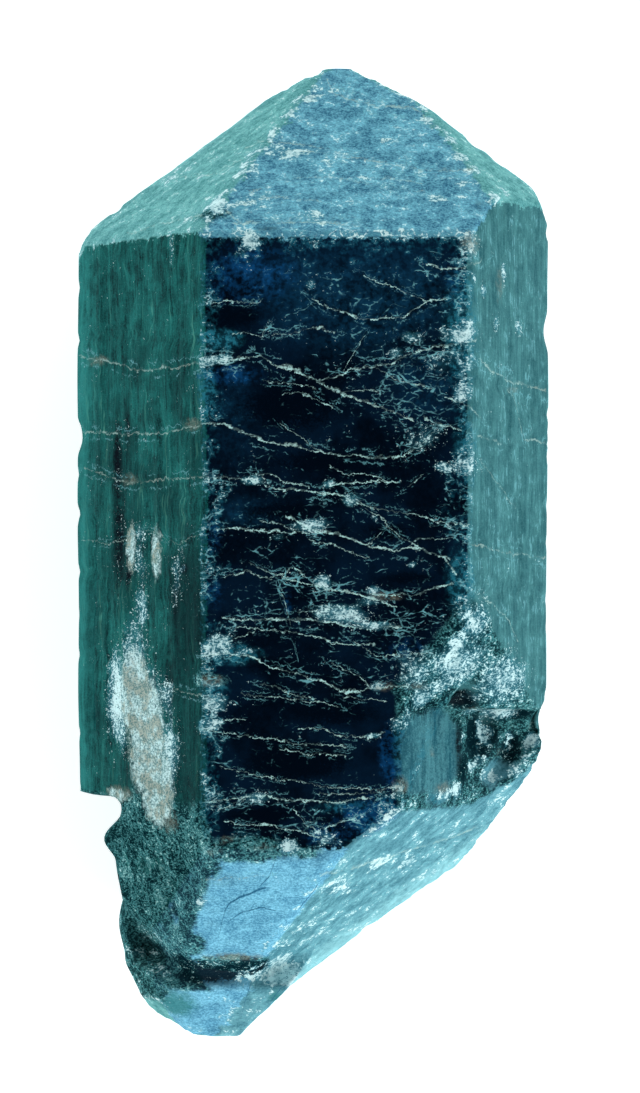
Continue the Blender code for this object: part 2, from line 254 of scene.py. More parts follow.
# ---- pale cracks, as seen from above the front face ----
CRACKS = (
    Line(((-16.2, 13.6), (-14.7, 13.3), (-11.6, 12.3), (-8.4, 12.4), (-7.3, 12.5),
          (-4.7, 12.8), (-3.5, 13.1), (-2.7, 12.4), (-0.9, 11.8), (0.3, 11.3), (1.4, 10.6),
          (3.3, 9.9), (5.4, 9.3), (6.5, 8.7)), 0.12),
    Line(((0.3, 11.3), (1.9, 11.7), (2.3, 12.1), (4.0, 12.3), (5.2, 12.5), (6.7, 13.3),
          (8.7, 13.6), (10.6, 13.9)), 0.11),
    Line(((-2.7, 14.4), (-0.7, 14.7), (1.4, 14.5)), 0.06),
    Line(((-16.0, 8.4), (-12.8, 8.1), (-10.1, 8.0), (-7.3, 8.5), (-5.9, 8.4), (-4.5, 7.8),
          (-3.0, 7.3), (-0.9, 6.9), (1.4, 6.5), (3.6, 6.4), (5.4, 6.2)), 0.1),
    Line(((5.4, 6.2), (6.9, 7.0), (7.9, 8.0)), 0.07),
    Line(((7.2, 8.9), (9.6, 8.0)), 0.08),
    Line(((-15.8, 5.9), (-12.3, 4.7), (-10.2, 4.9), (-7.3, 5.1), (-4.1, 4.9), (-2.0, 4.2),
          (0.0, 4.1), (2.0, 3.8), (3.1, 3.2)), 0.1),
    Line(((1.0, 4.5), (3.3, 4.7), (5.5, 4.7)), 0.07),
    Line(((-6.4, 1.7), (-4.5, 1.5), (-2.6, 1.4), (-0.3, 1.4)), 0.08),
    Line(((-1.8, 2.4), (-0.2, 1.7), (1.2, 1.3), (2.5, 0.9), (3.8, 0.4), (5.4, 0.2),
          (6.6, 0.4), (8.5, -0.3), (9.3, -1.3)), 0.12),
    Line(((2.9, 3.4), (4.4, 2.9), (6.0, 2.7), (8.0, 2.2), (10.2, 1.9)), 0.06),
    Line(((3.4, 3.0), (4.5, 2.2), (5.7, 1.2), (7.2, 0.2), (8.9, -0.4)), 0.06),
    Line(((-5.9, -1.5), (-4.4, -1.2), (-2.9, -1.7), (-1.3, -0.8), (-0.5, -1.5)), 0.07),
    Line(((-2.2, -1.3), (-0.2, -2.0), (2.1, -2.5), (3.8, -3.0), (5.4, -3.5)), 0.09),
    Line(((3.8, -2.7), (6.9, -2.7), (9.1, -2.0)), 0.08),
    Line(((-5.9, -4.2), (-2.6, -4.3), (0.3, -4.4), (2.5, -4.7), (3.8, -4.9), (5.8, -4.7)), 0.11),
    Line(((-5.3, -4.7), (-2.1, -5.1), (-0.2, -5.4), (1.6, -5.9), (4.0, -6.0)), 0.07),
    Line(((-7.0, -6.6), (-5.8, -6.4), (-3.9, -6.9), (-2.6, -7.5), (-1.0, -7.7),
          (0.6, -8.4), (2.1, -9.2), (3.6, -8.8), (6.1, -8.7)), 0.09),
    Line(((1.2, -7.1), (2.8, -7.9), (3.6, -8.7)), 0.06),
    Line(((-4.7, -9.2), (-2.3, -9.4), (-0.1, -9.6), (1.6, -10.0)), 0.06),
    Line(((-5.8, -10.9), (-4.5, -10.9)), 0.05),
    Line(((-1.0, -11.5), (0.4, -11.4), (1.6, -11.9), (3.8, -12.0), (4.6, -11.8)), 0.05),
    Line(((-7.0, -11.5), (-6.1, -11.7), (-4.2, -12.0), (-2.6, -12.2), (-0.2, -12.5),
          (2.1, -12.6)), 0.05),
    Line(((-6.1, -14.0), (-3.5, -14.5), (-1.0, -15.0), (1.4, -15.3), (3.8, -15.4),
          (5.4, -15.3)), 0.05),
    Line(((-6.8, -16.2), (-3.9, -15.8), (-1.0, -16.2), (0.9, -16.3), (3.8, -16.0)), 0.1),
    Line(((-5.8, -17.6), (-3.2, -17.8), (-1.0, -18.2), (0.9, -18.7)), 0.06),
    Line(((7.4, 19.0), (8.6, 18.6), (9.8, 18.7), (11.0, 19.3)), 0.12),
    Line(((10.9, 12.9), (11.7, 12.1), (12.6, 11.8), (13.4, 11.4), (15.7, 11.0)), 0.16),
    Line(((12.9, 10.9), (13.4, 10.4), (14.0, 7.7), (15.9, 7.4)), 0.09),
    Line(((10.8, 7.7), (12.4, 7.3)), 0.09),
    Line(((11.0, 6.1), (12.4, 4.4), (13.4, 3.1)), 0.08),
    Line(((10.2, 0.6), (12.8, 0.1), (15.6, -0.3)), 0.1),
    Line(((11.0, -2.8), (12.8, -4.1), (13.6, -5.8)), 0.1),
    Line(((-16.0, 0.9), (-13.4, 0.7), (-11.0, 1.6), (-9.0, 0.6), (-7.2, 1.4)), 0.06),
    Line(((-11.2, -9.7), (-9.2, -8.9), (-7.0, -9.4)), 0.08),
    Line(((0.9, 32.5), (1.3, 31.5), (2.4, 31.0), (4.5, 30.4), (6.7, 30.3), (7.5, 29.6)), 0.14),
    Line(((-4.6, 27.4), (-3.7, 27.8), (-0.8, 27.4), (1.9, 27.0)), 0.1),
    Line(((-0.8, 27.0), (1.9, 26.6), (4.5, 26.2), (6.6, 25.7), (8.7, 25.5), (10.6, 25.7)), 0.1),
    Line(((4.2, 24.6), (4.8, 25.0), (5.8, 24.9), (7.2, 24.6)), 0.08),
    Line(((-5.2, 21.7), (-1.9, 21.7), (0.4, 21.8), (3.0, 21.5)), 0.12),
    Line(((-5.7, 22.5), (-4.6, 21.6)), 0.14),
    Line(((-4.3, 23.9), (-1.5, 24.9), (1.2, 25.1), (4.5, 24.3), (7.8, 23.9)), 0.06),
    Line(((-5.6, 22.8), (-3.3, 23.6), (0.5, 23.3)), 0.06),
    Line(((-9.6, 26.0), (-8.4, 25.7), (-6.6, 25.7), (-4.9, 26.5)), 0.1),
    Line(((-12.6, 21.6), (-10.2, 22.1), (-7.4, 22.3)), 0.08),
    Line(((0.4, -21.2), (2.6, -20.9), (5.4, -20.3), (8.4, -19.7), (11.3, -18.9)), 0.14),
    Line(((-7.4, -21.5), (-5.4, -21.4), (-3.3, -21.1)), 0.07),
)
FINE_CRACKS = (
    Line(((-6.7, 16.4), (-5.9, 16.5), (-4.4, 16.5), (-3.5, 16.5)), 0.05),
    Line(((-5.3, 14.3), (-4.5, 14.4), (-3.5, 14.2), (-3.0, 15.0)), 0.05),
    Line(((2.0, 12.0), (2.5, 12.9), (3.3, 14.2)), 0.05),
    Line(((-3.2, 11.3), (-1.7, 11.2), (0.1, 10.8)), 0.05),
    Line(((-2.0, 10.4), (-1.1, 10.5), (-0.1, 10.2), (1.2, 9.6)), 0.06),
    Line(((4.1, 12.1), (5.2, 11.6), (6.8, 11.0), (7.7, 10.8)), 0.06),
    Line(((1.9, 10.5), (2.8, 10.6), (4.4, 10.7)), 0.05),
    Line(((8.6, 10.3), (9.9, 9.7), (11.0, 8.9)), 0.06),
    Line(((-2.2, 8.6), (-1.1, 7.7), (0.6, 6.7)), 0.05),
    Line(((-3.8, 5.4), (-3.0, 5.2), (-1.7, 4.6), (-0.3, 4.4)), 0.06),
    Line(((1.1, 5.7), (2.0, 5.2), (3.8, 5.1), (5.4, 4.6)), 0.05),
    Line(((6.2, 4.4), (7.1, 5.1)), 0.06),
    Line(((3.3, 18.2), (4.4, 17.7), (5.9, 17.2), (7.3, 16.5)), 0.05),
    Line(((-0.1, 16.7), (0.6, 16.2), (2.8, 15.4)), 0.05),
    Line(((1.8, 15.7), (3.7, 15.3), (6.0, 15.5), (7.3, 16.4), (8.7, 16.7)), 0.06),
    Line(((-3.5, 2.1), (-2.1, 1.8), (-1.0, 1.6)), 0.05),
    Line(((-0.3, 0.9), (1.2, 0.6), (2.5, -0.1), (3.6, -0.2)), 0.05),
    Line(((3.6, 0.6), (4.4, 1.4)), 0.05),
    Line(((6.6, 0.8), (7.9, 0.9), (9.1, 1.1)), 0.05),
    Line(((-4.2, -0.7), (-2.6, -1.3), (-1.8, -1.6)), 0.05),
    Line(((-2.1, -2.6), (-1.8, -3.4), (-1.6, -4.3)), 0.12),
    Line(((-1.0, -3.9), (0.6, -3.6), (2.1, -3.5)), 0.06),
    Line(((-5.6, -5.7), (-4.5, -5.4), (-3.9, -5.1)), 0.06),
    Line(((2.7, -5.8), (4.1, -6.7), (6.6, -6.6), (7.4, -6.5)), 0.05),
    Line(((-3.5, -8.5), (-1.6, -9.0), (-1.0, -9.3), (0.1, -9.4)), 0.05),
    Line(((2.0, -9.4), (3.5, -9.5), (4.7, -9.7)), 0.05),
    Line(((-2.2, -12.8), (-0.2, -13.1), (2.1, -13.2)), 0.05),
    Line(((0.3, -15.7), (2.8, -15.8), (4.7, -15.4)), 0.05),
    Line(((-7.0, -16.4), (-5.9, -16.6), (-4.5, -16.0)), 0.06),
    Line(((-1.3, -16.8), (-0.5, -17.7), (0.3, -18.1), (1.6, -17.7), (2.8, -17.2)), 0.06),
)
# ---- dark hairlines on the pale faces at the broken end ----
HAIRLINES = (
    Line(((-6.2, -24.9), (-6.0, -24.0), (-5.7, -23.3), (-5.0, -22.8), (-3.8, -22.3),
          (-3.2, -22.1)), 0.07),
    Line(((-3.5, -21.9), (-2.9, -21.2), (-2.6, -20.3)), 0.05),
    Line(((-5.6, -24.5), (-4.9, -23.9), (-3.6, -23.5), (-2.6, -23.7)), 0.04),
    Line(((-0.9, -23.5), (-0.4, -22.9), (0.2, -21.9)), 0.06),
    Line(((-4.9, -31.4), (-4.6, -30.2), (-4.3, -29.3)), 0.05),
    Line(((-3.2, -31.8), (-2.9, -30.5), (-2.2, -29.6)), 0.04),
)

# ---- where the surface is shattered to pale frost ----
FRONT_Z = 12.7
SHATTERED = (
    Patch((-4.1, 20.4, FRONT_Z), (0.75, 0.6, 1.5), 2.4),
    Patch((-4.6, 19.8, FRONT_Z), (0.6, 0.5, 1.5), 0.6),
    Patch((-0.2, 17.6, FRONT_Z), (0.6, 0.6, 1.5), 0.9),
    Patch((9.7, 14.5, FRONT_Z), (2.1, 1.1, 3.0), 1.0),
    Patch((6.4, 14.2, FRONT_Z), (1.2, 0.7, 1.5), 0.95),
    Patch((5.4, 13.2, FRONT_Z), (0.9, 0.6, 1.5), 0.8),
    Patch((8.6, 12.2, FRONT_Z), (2.6, 1.6, 2.0), 0.6),
    Patch((-6.4, 12.65, FRONT_Z), (1.6, 0.5, 1.8), 1.1),
    Patch((9.6, 10.4, FRONT_Z), (0.9, 0.9, 2.0), 1.0),
    Patch((7.4, 7.6, FRONT_Z), (2.8, 1.6, 2.0), 0.55),
    Patch((8.4, 5.7, FRONT_Z), (0.9, 0.6, 2.0), 1.0),
    Patch((10.2, 5.8, FRONT_Z), (1.4, 1.2, 3.0), 0.75),
    Patch((-4.0, 4.75, FRONT_Z), (1.2, 0.55, 1.5), 1.0),
    Patch((1.0, 4.6, FRONT_Z), (0.7, 0.5, 1.5), 0.9),
    Patch((2.4, 3.5, FRONT_Z), (1.1, 0.7, 1.5), 0.9),
    Patch((-0.2, 1.9, FRONT_Z), (1.9, 0.75, 1.5), 1.0),
    Patch((-2.3, 1.1, FRONT_Z), (0.9, 0.4, 1.5), 0.9),
    Patch((4.0, 2.3, FRONT_Z), (0.6, 0.5, 1.5), 0.8),
    Patch((6.4, -0.7, FRONT_Z), (0.6, 0.4, 1.5), 0.9),
    Patch((0.6, -1.8, FRONT_Z), (0.85, 0.75, 1.5), 1.3),
    Patch((3.9, -2.4, FRONT_Z), (0.7, 0.6, 1.5), 1.1),
    Patch((3.6, -3.1, FRONT_Z), (2.0, 0.55, 1.5), 0.85),
    Patch((1.8, -3.9, FRONT_Z), (2.7, 1.0, 1.5), 1.1),
    Patch((4.0, -4.7, FRONT_Z), (2.0, 0.45, 1.5), 0.95),
    Patch((-6.3, -5.9, FRONT_Z), (1.5, 1.1, 2.0), 1.0),
    Patch((-4.4, -6.4, FRONT_Z), (1.5, 0.5, 1.5), 0.8),
    Patch((-6.3, -9.9, FRONT_Z), (1.3, 0.9, 1.5), 0.8),
    Patch((-6.5, -11.2, FRONT_Z), (1.0, 0.5, 1.5), 0.8),
    Patch((4.2, -8.7, FRONT_Z), (0.9, 0.45, 1.5), 1.1),
    Patch((3.9, -11.9, FRONT_Z), (0.9, 0.35, 1.5), 1.1),
    Patch((5.4, -11.3, FRONT_Z), (0.9, 1.0, 2.0), 0.9),
    Patch((5.5, -15.3, FRONT_Z), (0.8, 0.9, 2.0), 0.9),
    Patch((-3.6, -15.9, FRONT_Z), (1.6, 0.5, 1.5), 0.9),
    Patch((1.0, -18.4, FRONT_Z), (1.6, 1.1, 1.5), 0.6),
    Patch((-1.6, -19.1, FRONT_Z), (0.9, 0.7, 1.5), 1.4),
    Patch((4.2, -20.8, 6.0), (1.7, 0.9, 3.0), 1.2),
    Patch((6.4, -21.0, 1.6), (1.6, 0.8, 3.0), 1.1),
    Patch((1.4, -22.4, 7.4), (1.1, 1.4, 2.4), 1.2),
    Patch((2.8, -22.8, 4.4), (1.6, 0.7, 2.6), 0.8),
    Patch((-0.4, -25.6, 4.6), (1.6, 1.2, 3.0), 0.9),
    Patch((-4.3, 24.8, 8.0), (1.0, 2.6, 2.4), 0.85),
    Patch((-7.4, 22.4, 10.0), (2.4, 0.7, 2.4), 1.0),
    Patch((8.4, 23.4, 9.8), (1.6, 1.0, 2.0), 0.8),
    Patch((10.7, -4.6, 11.6), (2.3, 2.8, 2.8), 0.95),
    Patch((12.6, -10.7, 4.6), (2.0, 0.9, 2.0), 1.2),
    Patch((10.7, -10.5, 5.6), (1.3, 0.9, 1.6), 0.9),
    Patch((11.4, -12.2, 4.3), (1.2, 1.6, 1.4), 0.55),
    Patch((10.3, 20.4, 12.2), (1.1, 1.2, 1.6), 1.1),
    Patch((9.4, -7.0, 10.6), (4.2, 3.0, 4.0), 1.0),
    Patch((6.6, -7.6, 12.2), (2.2, 2.2, 2.0), 0.9),
    Patch((12.6, -8.4, 7.4), (3.6, 2.8, 4.6), 1.1),
    Patch((7.2, -9.6, 11.6), (1.4, 1.7, 1.6), 1.2),
    Patch((14.8, -12.6, 2.9), (0.7, 0.8, 1.0), 1.7),
    Patch((12.6, -15.1, 3.4), (2.4, 0.8, 2.0), 1.0),
    Patch((12.6, 18.7, 8.7), (0.35, 1.1, 0.8), 1.3),
    Patch((11.2, 17.3, 11.2), (0.45, 0.7, 0.8), 1.4),
    Patch((10.5, 18.1, 12.3), (0.35, 0.6, 0.6), 1.2),
    Patch((12.0, 15.2, 9.8), (0.4, 0.9, 0.8), 1.0),
    Patch((13.6, 15.1, 7.0), (0.6, 0.9, 1.2), 0.9),
    Patch((9.0, -16.1, 7.4), (3.6, 0.9, 3.4), 1.15),
    Patch((6.2, -11.0, 12.2), (0.8, 2.2, 1.6), 0.8),
    Patch((-7.7, -23.2, 9.3), (1.1, 0.6, 1.4), 1.3),
    Patch((-2.0, -27.2, 3.6), (1.5, 1.8, 2.6), 1.1),
    Patch((-1.8, -28.6, 1.2), (2.6, 1.8, 3.2), 1.6),
    Patch((-7.2, 22.6, 10.6), (3.6, 2.0, 3.4), 0.7),
    Patch((-1.8, 27.0, 5.6), (3.2, 1.5, 2.4), 1.2),
    Patch((-4.2, 23.2, 10.0), (1.8, 1.6, 2.0), 0.75),
    Patch((0.6, 22.2, 11.2), (2.2, 1.3, 1.8), 0.6),
    Patch((-0.4, 31.3, 0.6), (2.2, 1.1, 1.6), 0.95),
    Patch((4.6, 27.8, 4.7), (0.45, 0.4, 1.0), 1.4),
    Patch((5.7, 24.4, 8.6), (1.9, 0.9, 1.4), 0.55),
    Patch((9.5, 24.5, 8.6), (0.8, 0.6, 1.4), 1.1),
    Patch((-9.4, 20.2, 9.2), (0.7, 2.4, 1.4), 0.6),
)

# ---- the calcite crust on the left face ----
CALCITE = (
    Patch((-12.0, -9.4, 4.8), (2.1, 3.6, 3.2), 1.2),
    Patch((-11.2, -12.2, 6.1), (2.3, 5.0, 3.4), 1.5),
    Patch((-10.5, -15.6, 7.4), (2.2, 3.4, 3.4), 1.2),
    Patch((-12.3, 0.4, 4.0), (0.7, 2.4, 1.4), 0.8),
    Patch((-10.5, 0.0, 7.2), (0.8, 2.6, 1.6), 0.7),
    Patch((-13.4, -16.4, 2.0), (2.8, 0.8, 3.2), 0.6),
)
CALCITE_DUST = (
    Patch((-12.1, -7.6, 4.6), (1.7, 4.8, 3.4), 1.2),
    Patch((-11.5, -3.6, 5.4), (1.1, 2.8, 2.4), 0.9),
    Patch((-13.3, -9.8, 2.4), (1.9, 5.0, 2.8), 1.5),
    Patch((-10.9, -11.6, 6.6), (2.8, 6.4, 4.4), 1.1),
    Patch((-9.6, -13.5, 8.6), (1.6, 5.0, 2.8), 1.0),
    Patch((-11.6, 0.4, 5.2), (1.7, 3.8, 3.0), 0.6),
    Patch((-9.0, -1.5, 9.8), (1.2, 3.6, 2.2), 0.5),
    Patch((-1.7, -28.9, 0.4), (1.7, 1.3, 2.6), 1.1),
)

# ---- stains: saturated blue, translucent teal, ochre, black with some painted shadow, a painted glow at thin edges, and rubble ----
INK = (
    Patch((3.0, 17.4, FRONT_Z), (9.0, 5.6, 2.0), 1.1),
    Patch((-5.4, 9.0, FRONT_Z), (2.6, 5.0, 2.0), 0.5),
    Patch((7.6, 11.4, FRONT_Z), (3.6, 3.6, 2.0), 0.7),
    Patch((-4.5, 2.6, FRONT_Z), (3.6, 1.6, 2.0), 0.6),
)
BLUE = (
    Patch((-4.2, 18.3, FRONT_Z), (4.8, 3.0, 2.0), 0.9),
    Patch((-5.6, 11.7, FRONT_Z), (3.2, 0.9, 1.6), 1.1),
    Patch((9.2, 17.8, FRONT_Z), (1.2, 2.6, 2.0), 0.6),
    Patch((5.2, -13.2, 12.6), (1.3, 2.8, 2.0), 1.6),
    Patch((3.8, -17.3, FRONT_Z), (3.2, 1.8, 2.0), 1.5),
    Patch((0.9, -18.4, FRONT_Z), (2.4, 1.1, 2.0), 0.9),
    Patch((-6.7, 1.2, FRONT_Z), (1.1, 1.8, 1.6), 0.8),
    Patch((-6.5, -2.6, FRONT_Z), (1.1, 1.6, 1.6), 0.8),
    Patch((-1.7, -3.2, FRONT_Z), (0.5, 1.3, 1.2), 0.8),
    Patch((6.2, -6.3, FRONT_Z), (2.6, 1.4, 1.6), 0.5),
)
TEAL = (
    Patch((-6.2, 14.0, FRONT_Z), (2.2, 1.0, 1.6), 1.3),
    Patch((-7.0, 10.6, FRONT_Z), (0.9, 3.0, 1.8), 1.0),
    Patch((9.7, 14.8, FRONT_Z), (1.7, 6.0, 2.4), 1.0),
    Patch((10.0, 7.0, FRONT_Z), (1.3, 4.6, 2.4), 0.7),
    Patch((9.7, -1.8, FRONT_Z), (1.5, 3.4, 2.4), 0.9),
    Patch((6.4, -11.4, 12.4), (1.3, 1.4, 1.8), 1.2),
    Patch((5.9, -12.8, 12.4), (1.0, 3.4, 1.8), 1.2),
    Patch((8.4, -16.2, 8.4), (3.4, 0.8, 2.6), 1.0),
    Patch((-5.4, -6.6, FRONT_Z), (2.8, 1.0, 1.8), 1.0),
    Patch((-6.6, -9.0, FRONT_Z), (1.5, 1.6, 1.8), 0.9),
    Patch((-6.9, -11.2, FRONT_Z), (1.2, 1.2, 1.8), 0.8),
    Patch((2.2, -16.6, FRONT_Z), (3.4, 0.8, 1.8), 0.6),
)
OCHRE = (
    Patch((10.3, 20.4, 12.4), (1.1, 1.2, 1.6), 1.0),
    Patch((4.6, -2.8, FRONT_Z), (1.9, 0.5, 1.2), 0.9),
    Patch((-5.6, -18.7, 12.6), (1.9, 0.5, 1.6), 0.55),
    Patch((-3.4, -19.2, 12.6), (1.7, 0.5, 1.6), 0.55),
    Patch((-6.6, -19.5, 12.2), (1.2, 0.6, 1.6), 0.6),
    Patch((4.5, -8.7, FRONT_Z), (1.2, 0.5, 1.4), 0.9),
    Patch((6.8, -8.7, 11.9), (1.4, 0.5, 1.6), 0.7),
    Patch((5.7, -15.2, 12.5), (0.9, 0.9, 1.6), 1.0),
    Patch((-13.2, -16.3, 2.6), (2.8, 0.9, 3.0), 1.1),
    Patch((-9.8, -17.6, 8.4), (2.0, 1.6, 2.6), 0.9),
    Patch((-6.8, -8.3, FRONT_Z), (1.5, 0.6, 1.8), 1.0),
    Patch((-14.8, 13.2, -0.2), (1.8, 0.6, 3.2), 0.8),
    Patch((-12.6, 5.0, 3.6), (1.6, 0.7, 2.6), 0.8),
    Patch((-8.0, 8.5, 11.4), (1.4, 0.7, 2.0), 0.9),
    Patch((-5.4, -27.2, 4.2), (3.0, 0.5, 2.0), 1.1),
    Patch((13.0, -13.6, 4.0), (1.2, 0.9, 1.6), 0.9),
    Patch((10.6, -10.2, 6.6), (1.2, 0.6, 1.6), 0.8),
    Patch((13.2, -10.7, 5.0), (2.2, 0.5, 1.8), 0.7),
    Patch((8.0, -13.2, 9.4), (0.7, 0.8, 1.4), 0.5),
    Patch((8.6, -15.6, 8.0), (1.8, 0.8, 2.0), 0.7),
    Patch((13.4, 10.9, 8.0), (2.0, 0.5, 2.6), 0.6),
    Patch((12.4, 17.8, 9.4), (0.8, 2.2, 1.6), 0.6),
)
BLACK_AND_SHADOW = (
    Patch((-1.6, 9.6, FRONT_Z), (5.2, 2.4, 1.8), 0.9),
    Patch((-5.8, 22.6, 10.6), (1.2, 0.6, 1.8), 0.35),
    Patch((10.9, 22.6, 9.4), (0.6, 1.3, 2.0), 0.6),
    Patch((-3.0, 21.3, 12.2), (1.4, 0.5, 1.8), 0.4),
    Patch((-12.6, -13.4, 3.4), (0.7, 3.6, 1.6), 0.5),
    Patch((0.6, 6.0, FRONT_Z), (5.4, 1.2, 1.8), 0.8),
    Patch((-4.6, 15.6, FRONT_Z), (1.8, 1.2, 1.8), 0.8),
    Patch((-2.0, 2.8, FRONT_Z), (4.4, 1.0, 1.8), 0.8),
    Patch((5.0, 1.4, FRONT_Z), (3.0, 0.9, 1.8), 0.8),
    Patch((-2.4, -7.4, FRONT_Z), (3.0, 1.0, 1.8), 0.8),
    Patch((-1.0, -13.6, FRONT_Z), (5.0, 1.8, 1.8), 1.0),
    Patch((1.2, -10.4, FRONT_Z), (5.0, 1.4, 1.8), 0.8),
    Patch((6.4, -1.6, FRONT_Z), (2.6, 0.7, 1.8), 0.8),
    Patch((-3.4, -17.1, FRONT_Z), (3.0, 0.7, 1.8), 1.0),
    Patch((-13.4, 6.2, 2.4), (0.6, 6.0, 1.4), 0.8),
    Patch((-12.5, -1.5, 3.8), (0.6, 3.0, 1.4), 0.6),
    Patch((-12.6, 8.8, 3.6), (0.5, 3.4, 1.4), 0.5),
    Patch((-13.2, 1.0, 2.6), (1.2, 8.5, 2.2), 0.6),
    Patch((-9.6, -9.5, 8.8), (0.9, 5.5, 1.8), 0.5),
    Patch((-9.2, -2.6, 9.6), (0.6, 3.6, 1.4), 0.5),
    Patch((-8.6, -1.0, 10.6), (0.9, 0.6, 1.4), 0.7),
    # painted shadow in the notch's cavity
    Patch((9.9, -9.7, 7.6), (1.5, 1.0, 1.8), 1.4),
    Patch((11.2, -12.4, 4.2), (2.0, 2.6, 1.8), 0.9),
    Patch((9.8, -12.6, 6.4), (0.5, 2.4, 1.6), 0.9),
    Patch((13.2, -12.9, 2.6), (1.2, 2.0, 1.4), 1.0),
    Patch((14.0, -10.9, 4.2), (2.0, 0.5, 1.6), 1.0),
    Patch((10.0, -14.4, 5.6), (1.0, 1.6, 1.6), 0.8),
    # painted shade darkening the cleft at the broken end
    Patch((-11.2, -27.2, -1.4), (3.4, 1.8, 3.4), 0.5),
    Patch((-7.4, -28.2, 1.8), (4.6, 1.4, 2.8), 1.7),
    Patch((-5.0, -28.2, 2.6), (3.2, 1.1, 2.6), 1.9),
)
# painted glow of light through the thin green edges at the broken end
EDGE_GLOW_JADE = (
    Patch((-9.6, -30.6, -0.4), (2.6, 2.6, 3.0), 1.2),
    Patch((-13.6, -20.5, -0.8), (1.7, 3.6, 3.0), 1.2),
    Patch((-12.8, -26.0, -1.8), (1.2, 3.6, 2.6), 1.0),
    Patch((-10.4, -24.8, 2.6), (2.8, 0.7, 3.4), 0.9),
    Patch((-2.6, -30.0, 0.6), (1.2, 1.6, 2.0), 0.8),
)
PANE = (
    Patch((8.1, -13.1, 8.9), (3.3, 3.5, 5.2), 3.2),
    Patch((6.7, -13.2, 11.0), (2.2, 3.6, 2.8), 2.4),
)
WHOLE_FACET = (
    Patch((-7.5, -22.2, 9.4), (1.6, 2.3, 3.0), 1.7),
)
RUBBLE = (
    Patch((-8.9, -26.2, 5.2), (2.1, 1.7, 3.0), 1.5),
    Patch((13.6, -12.6, 3.2), (2.8, 2.4, 2.6), 1.3),
    Patch((-9.3, -23.8, 6.4), (1.1, 2.0, 2.4), 1.6),
    Patch((-5.6, -27.7, 3.4), (3.6, 1.0, 2.6), 1.4),
    Patch((-4.6, -19.4, 12.5), (4.2, 1.2, 2.0), 1.2),
    Patch((-7.2, -20.2, 11.4), (1.8, 2.0, 2.4), 1.1),
    Patch((-0.6, -19.6, 12.6), (2.0, 0.6, 1.6), 0.8),
    Patch((-9.8, -18.0, 8.4), (2.6, 2.0, 3.0), 1.0),
    Patch((-12.6, -16.8, 3.4), (2.0, 0.8, 2.4), 0.9),
    Patch((6.0, -8.8, 12.3), (1.6, 0.8, 1.6), 1.0),
    Patch((-7.0, -8.3, 12.4), (1.9, 0.8, 1.8), 1.0),
    Patch((5.9, -15.4, 12.4), (1.0, 0.9, 1.6), 0.9),
    Patch((-6.6, 22.4, 10.8), (2.6, 1.0, 2.0), 0.6),
)

# ---- where the fine web of cracks is dense ----
WEB = (
    Patch((7.2, 11.6, FRONT_Z), (6.4, 4.6, 2.4), 1.1),
    Patch((9.9, 4.0, FRONT_Z), (2.2, 9.0, 2.6), 1.0),
    Patch((9.4, 17.4, FRONT_Z), (2.4, 4.0, 2.6), 0.8),
    Patch((-7.0, 12.6, FRONT_Z), (2.6, 2.6, 2.4), 1.0),
    Patch((-7.0, 0.5, FRONT_Z), (1.8, 8.0, 2.4), 0.9),
    Patch((-6.8, -10.0, FRONT_Z), (2.0, 6.0, 2.4), 0.9),
    Patch((-1.0, 2.6, FRONT_Z), (7.0, 2.6, 2.0), 0.5),
    Patch((0.0, -2.8, FRONT_Z), (7.5, 3.2, 2.0), 0.9),
    Patch((6.6, -5.4, 12.6), (4.2, 4.0, 2.4), 1.0),
    Patch((0.6, -17.4, FRONT_Z), (6.6, 2.4, 2.0), 0.9),
    Patch((2.6, 16.2, FRONT_Z), (8.0, 4.6, 2.0), 0.35),
    Patch((6.0, 7.0, FRONT_Z), (4.0, 2.0, 2.0), 0.6),
)

STAINS = {
    "ink": Stain(INK, 0.0, 0.7, 1.6),
    "blue": Stain(BLUE, 0.1, 0.85, 3.2),
    "teal": Stain(TEAL, 0.1, 0.8, 2.6),
    "jade": Stain(EDGE_GLOW_JADE, 0.2, 0.8, 1.6),
    "pane": Stain(PANE, 0.3, 0.9, 1.6),
    "whole_facet": Stain(WHOLE_FACET, 0.4, 0.8, 1.6),
    "rubble": Stain(RUBBLE, 0.15, 0.5, 2.4),
    "ochre": Stain(OCHRE, 0.15, 0.8, 3.0),
    "calcite": Stain(CALCITE, 0.15, 0.5, 3.0),
}
PATCHES = {
    "shattered": SHATTERED, "calcite_dust": CALCITE_DUST, "black": BLACK_AND_SHADOW, "web": WEB,
    **{name: stain.patches for name, stain in STAINS.items()},
}

# ---- which faces look alike, each by its group and its name; the colours of the pyramid faces and the right faces also hold a painted sheen ----
LOOKS = {
    "front": [("prism", "front")],
    "green_sides": [("prism", "left"), ("prism", "left_back")],
    "grey_sides": [("prism", "right"), ("prism", "right_back"), ("whole", "worn_right_corner")],
    "steel": [("whole", "front"), ("whole", "back")],
    "moss": [
        ("whole", "right"), ("whole", "right_back"), ("whole", "left"), ("whole", "left_back"),
        ("whole", "worn_left_corner"), ("broken", "left"), ("broken", "left_back"),
        ("broken", "back"), ("broken", "worn_left_corner")],
    "pale": [("broken", "front")],
    "mint": [("broken", "right"), ("broken", "right_back"), ("broken", "tip")],
}

# ---- grooves that the pale cracks have worn ----
CRACK_GROOVE_DEPTH = 0.05
CRACK_GROOVE_WIDTH = 0.22

# ---- edge chips: small pits along the crystal's edges ----
CHIP_SEED = 7
CHIP_COUNT = 90
CHIP_RADIUS = (0.35, 1.0)
CHIP_DEPTH = 0.28

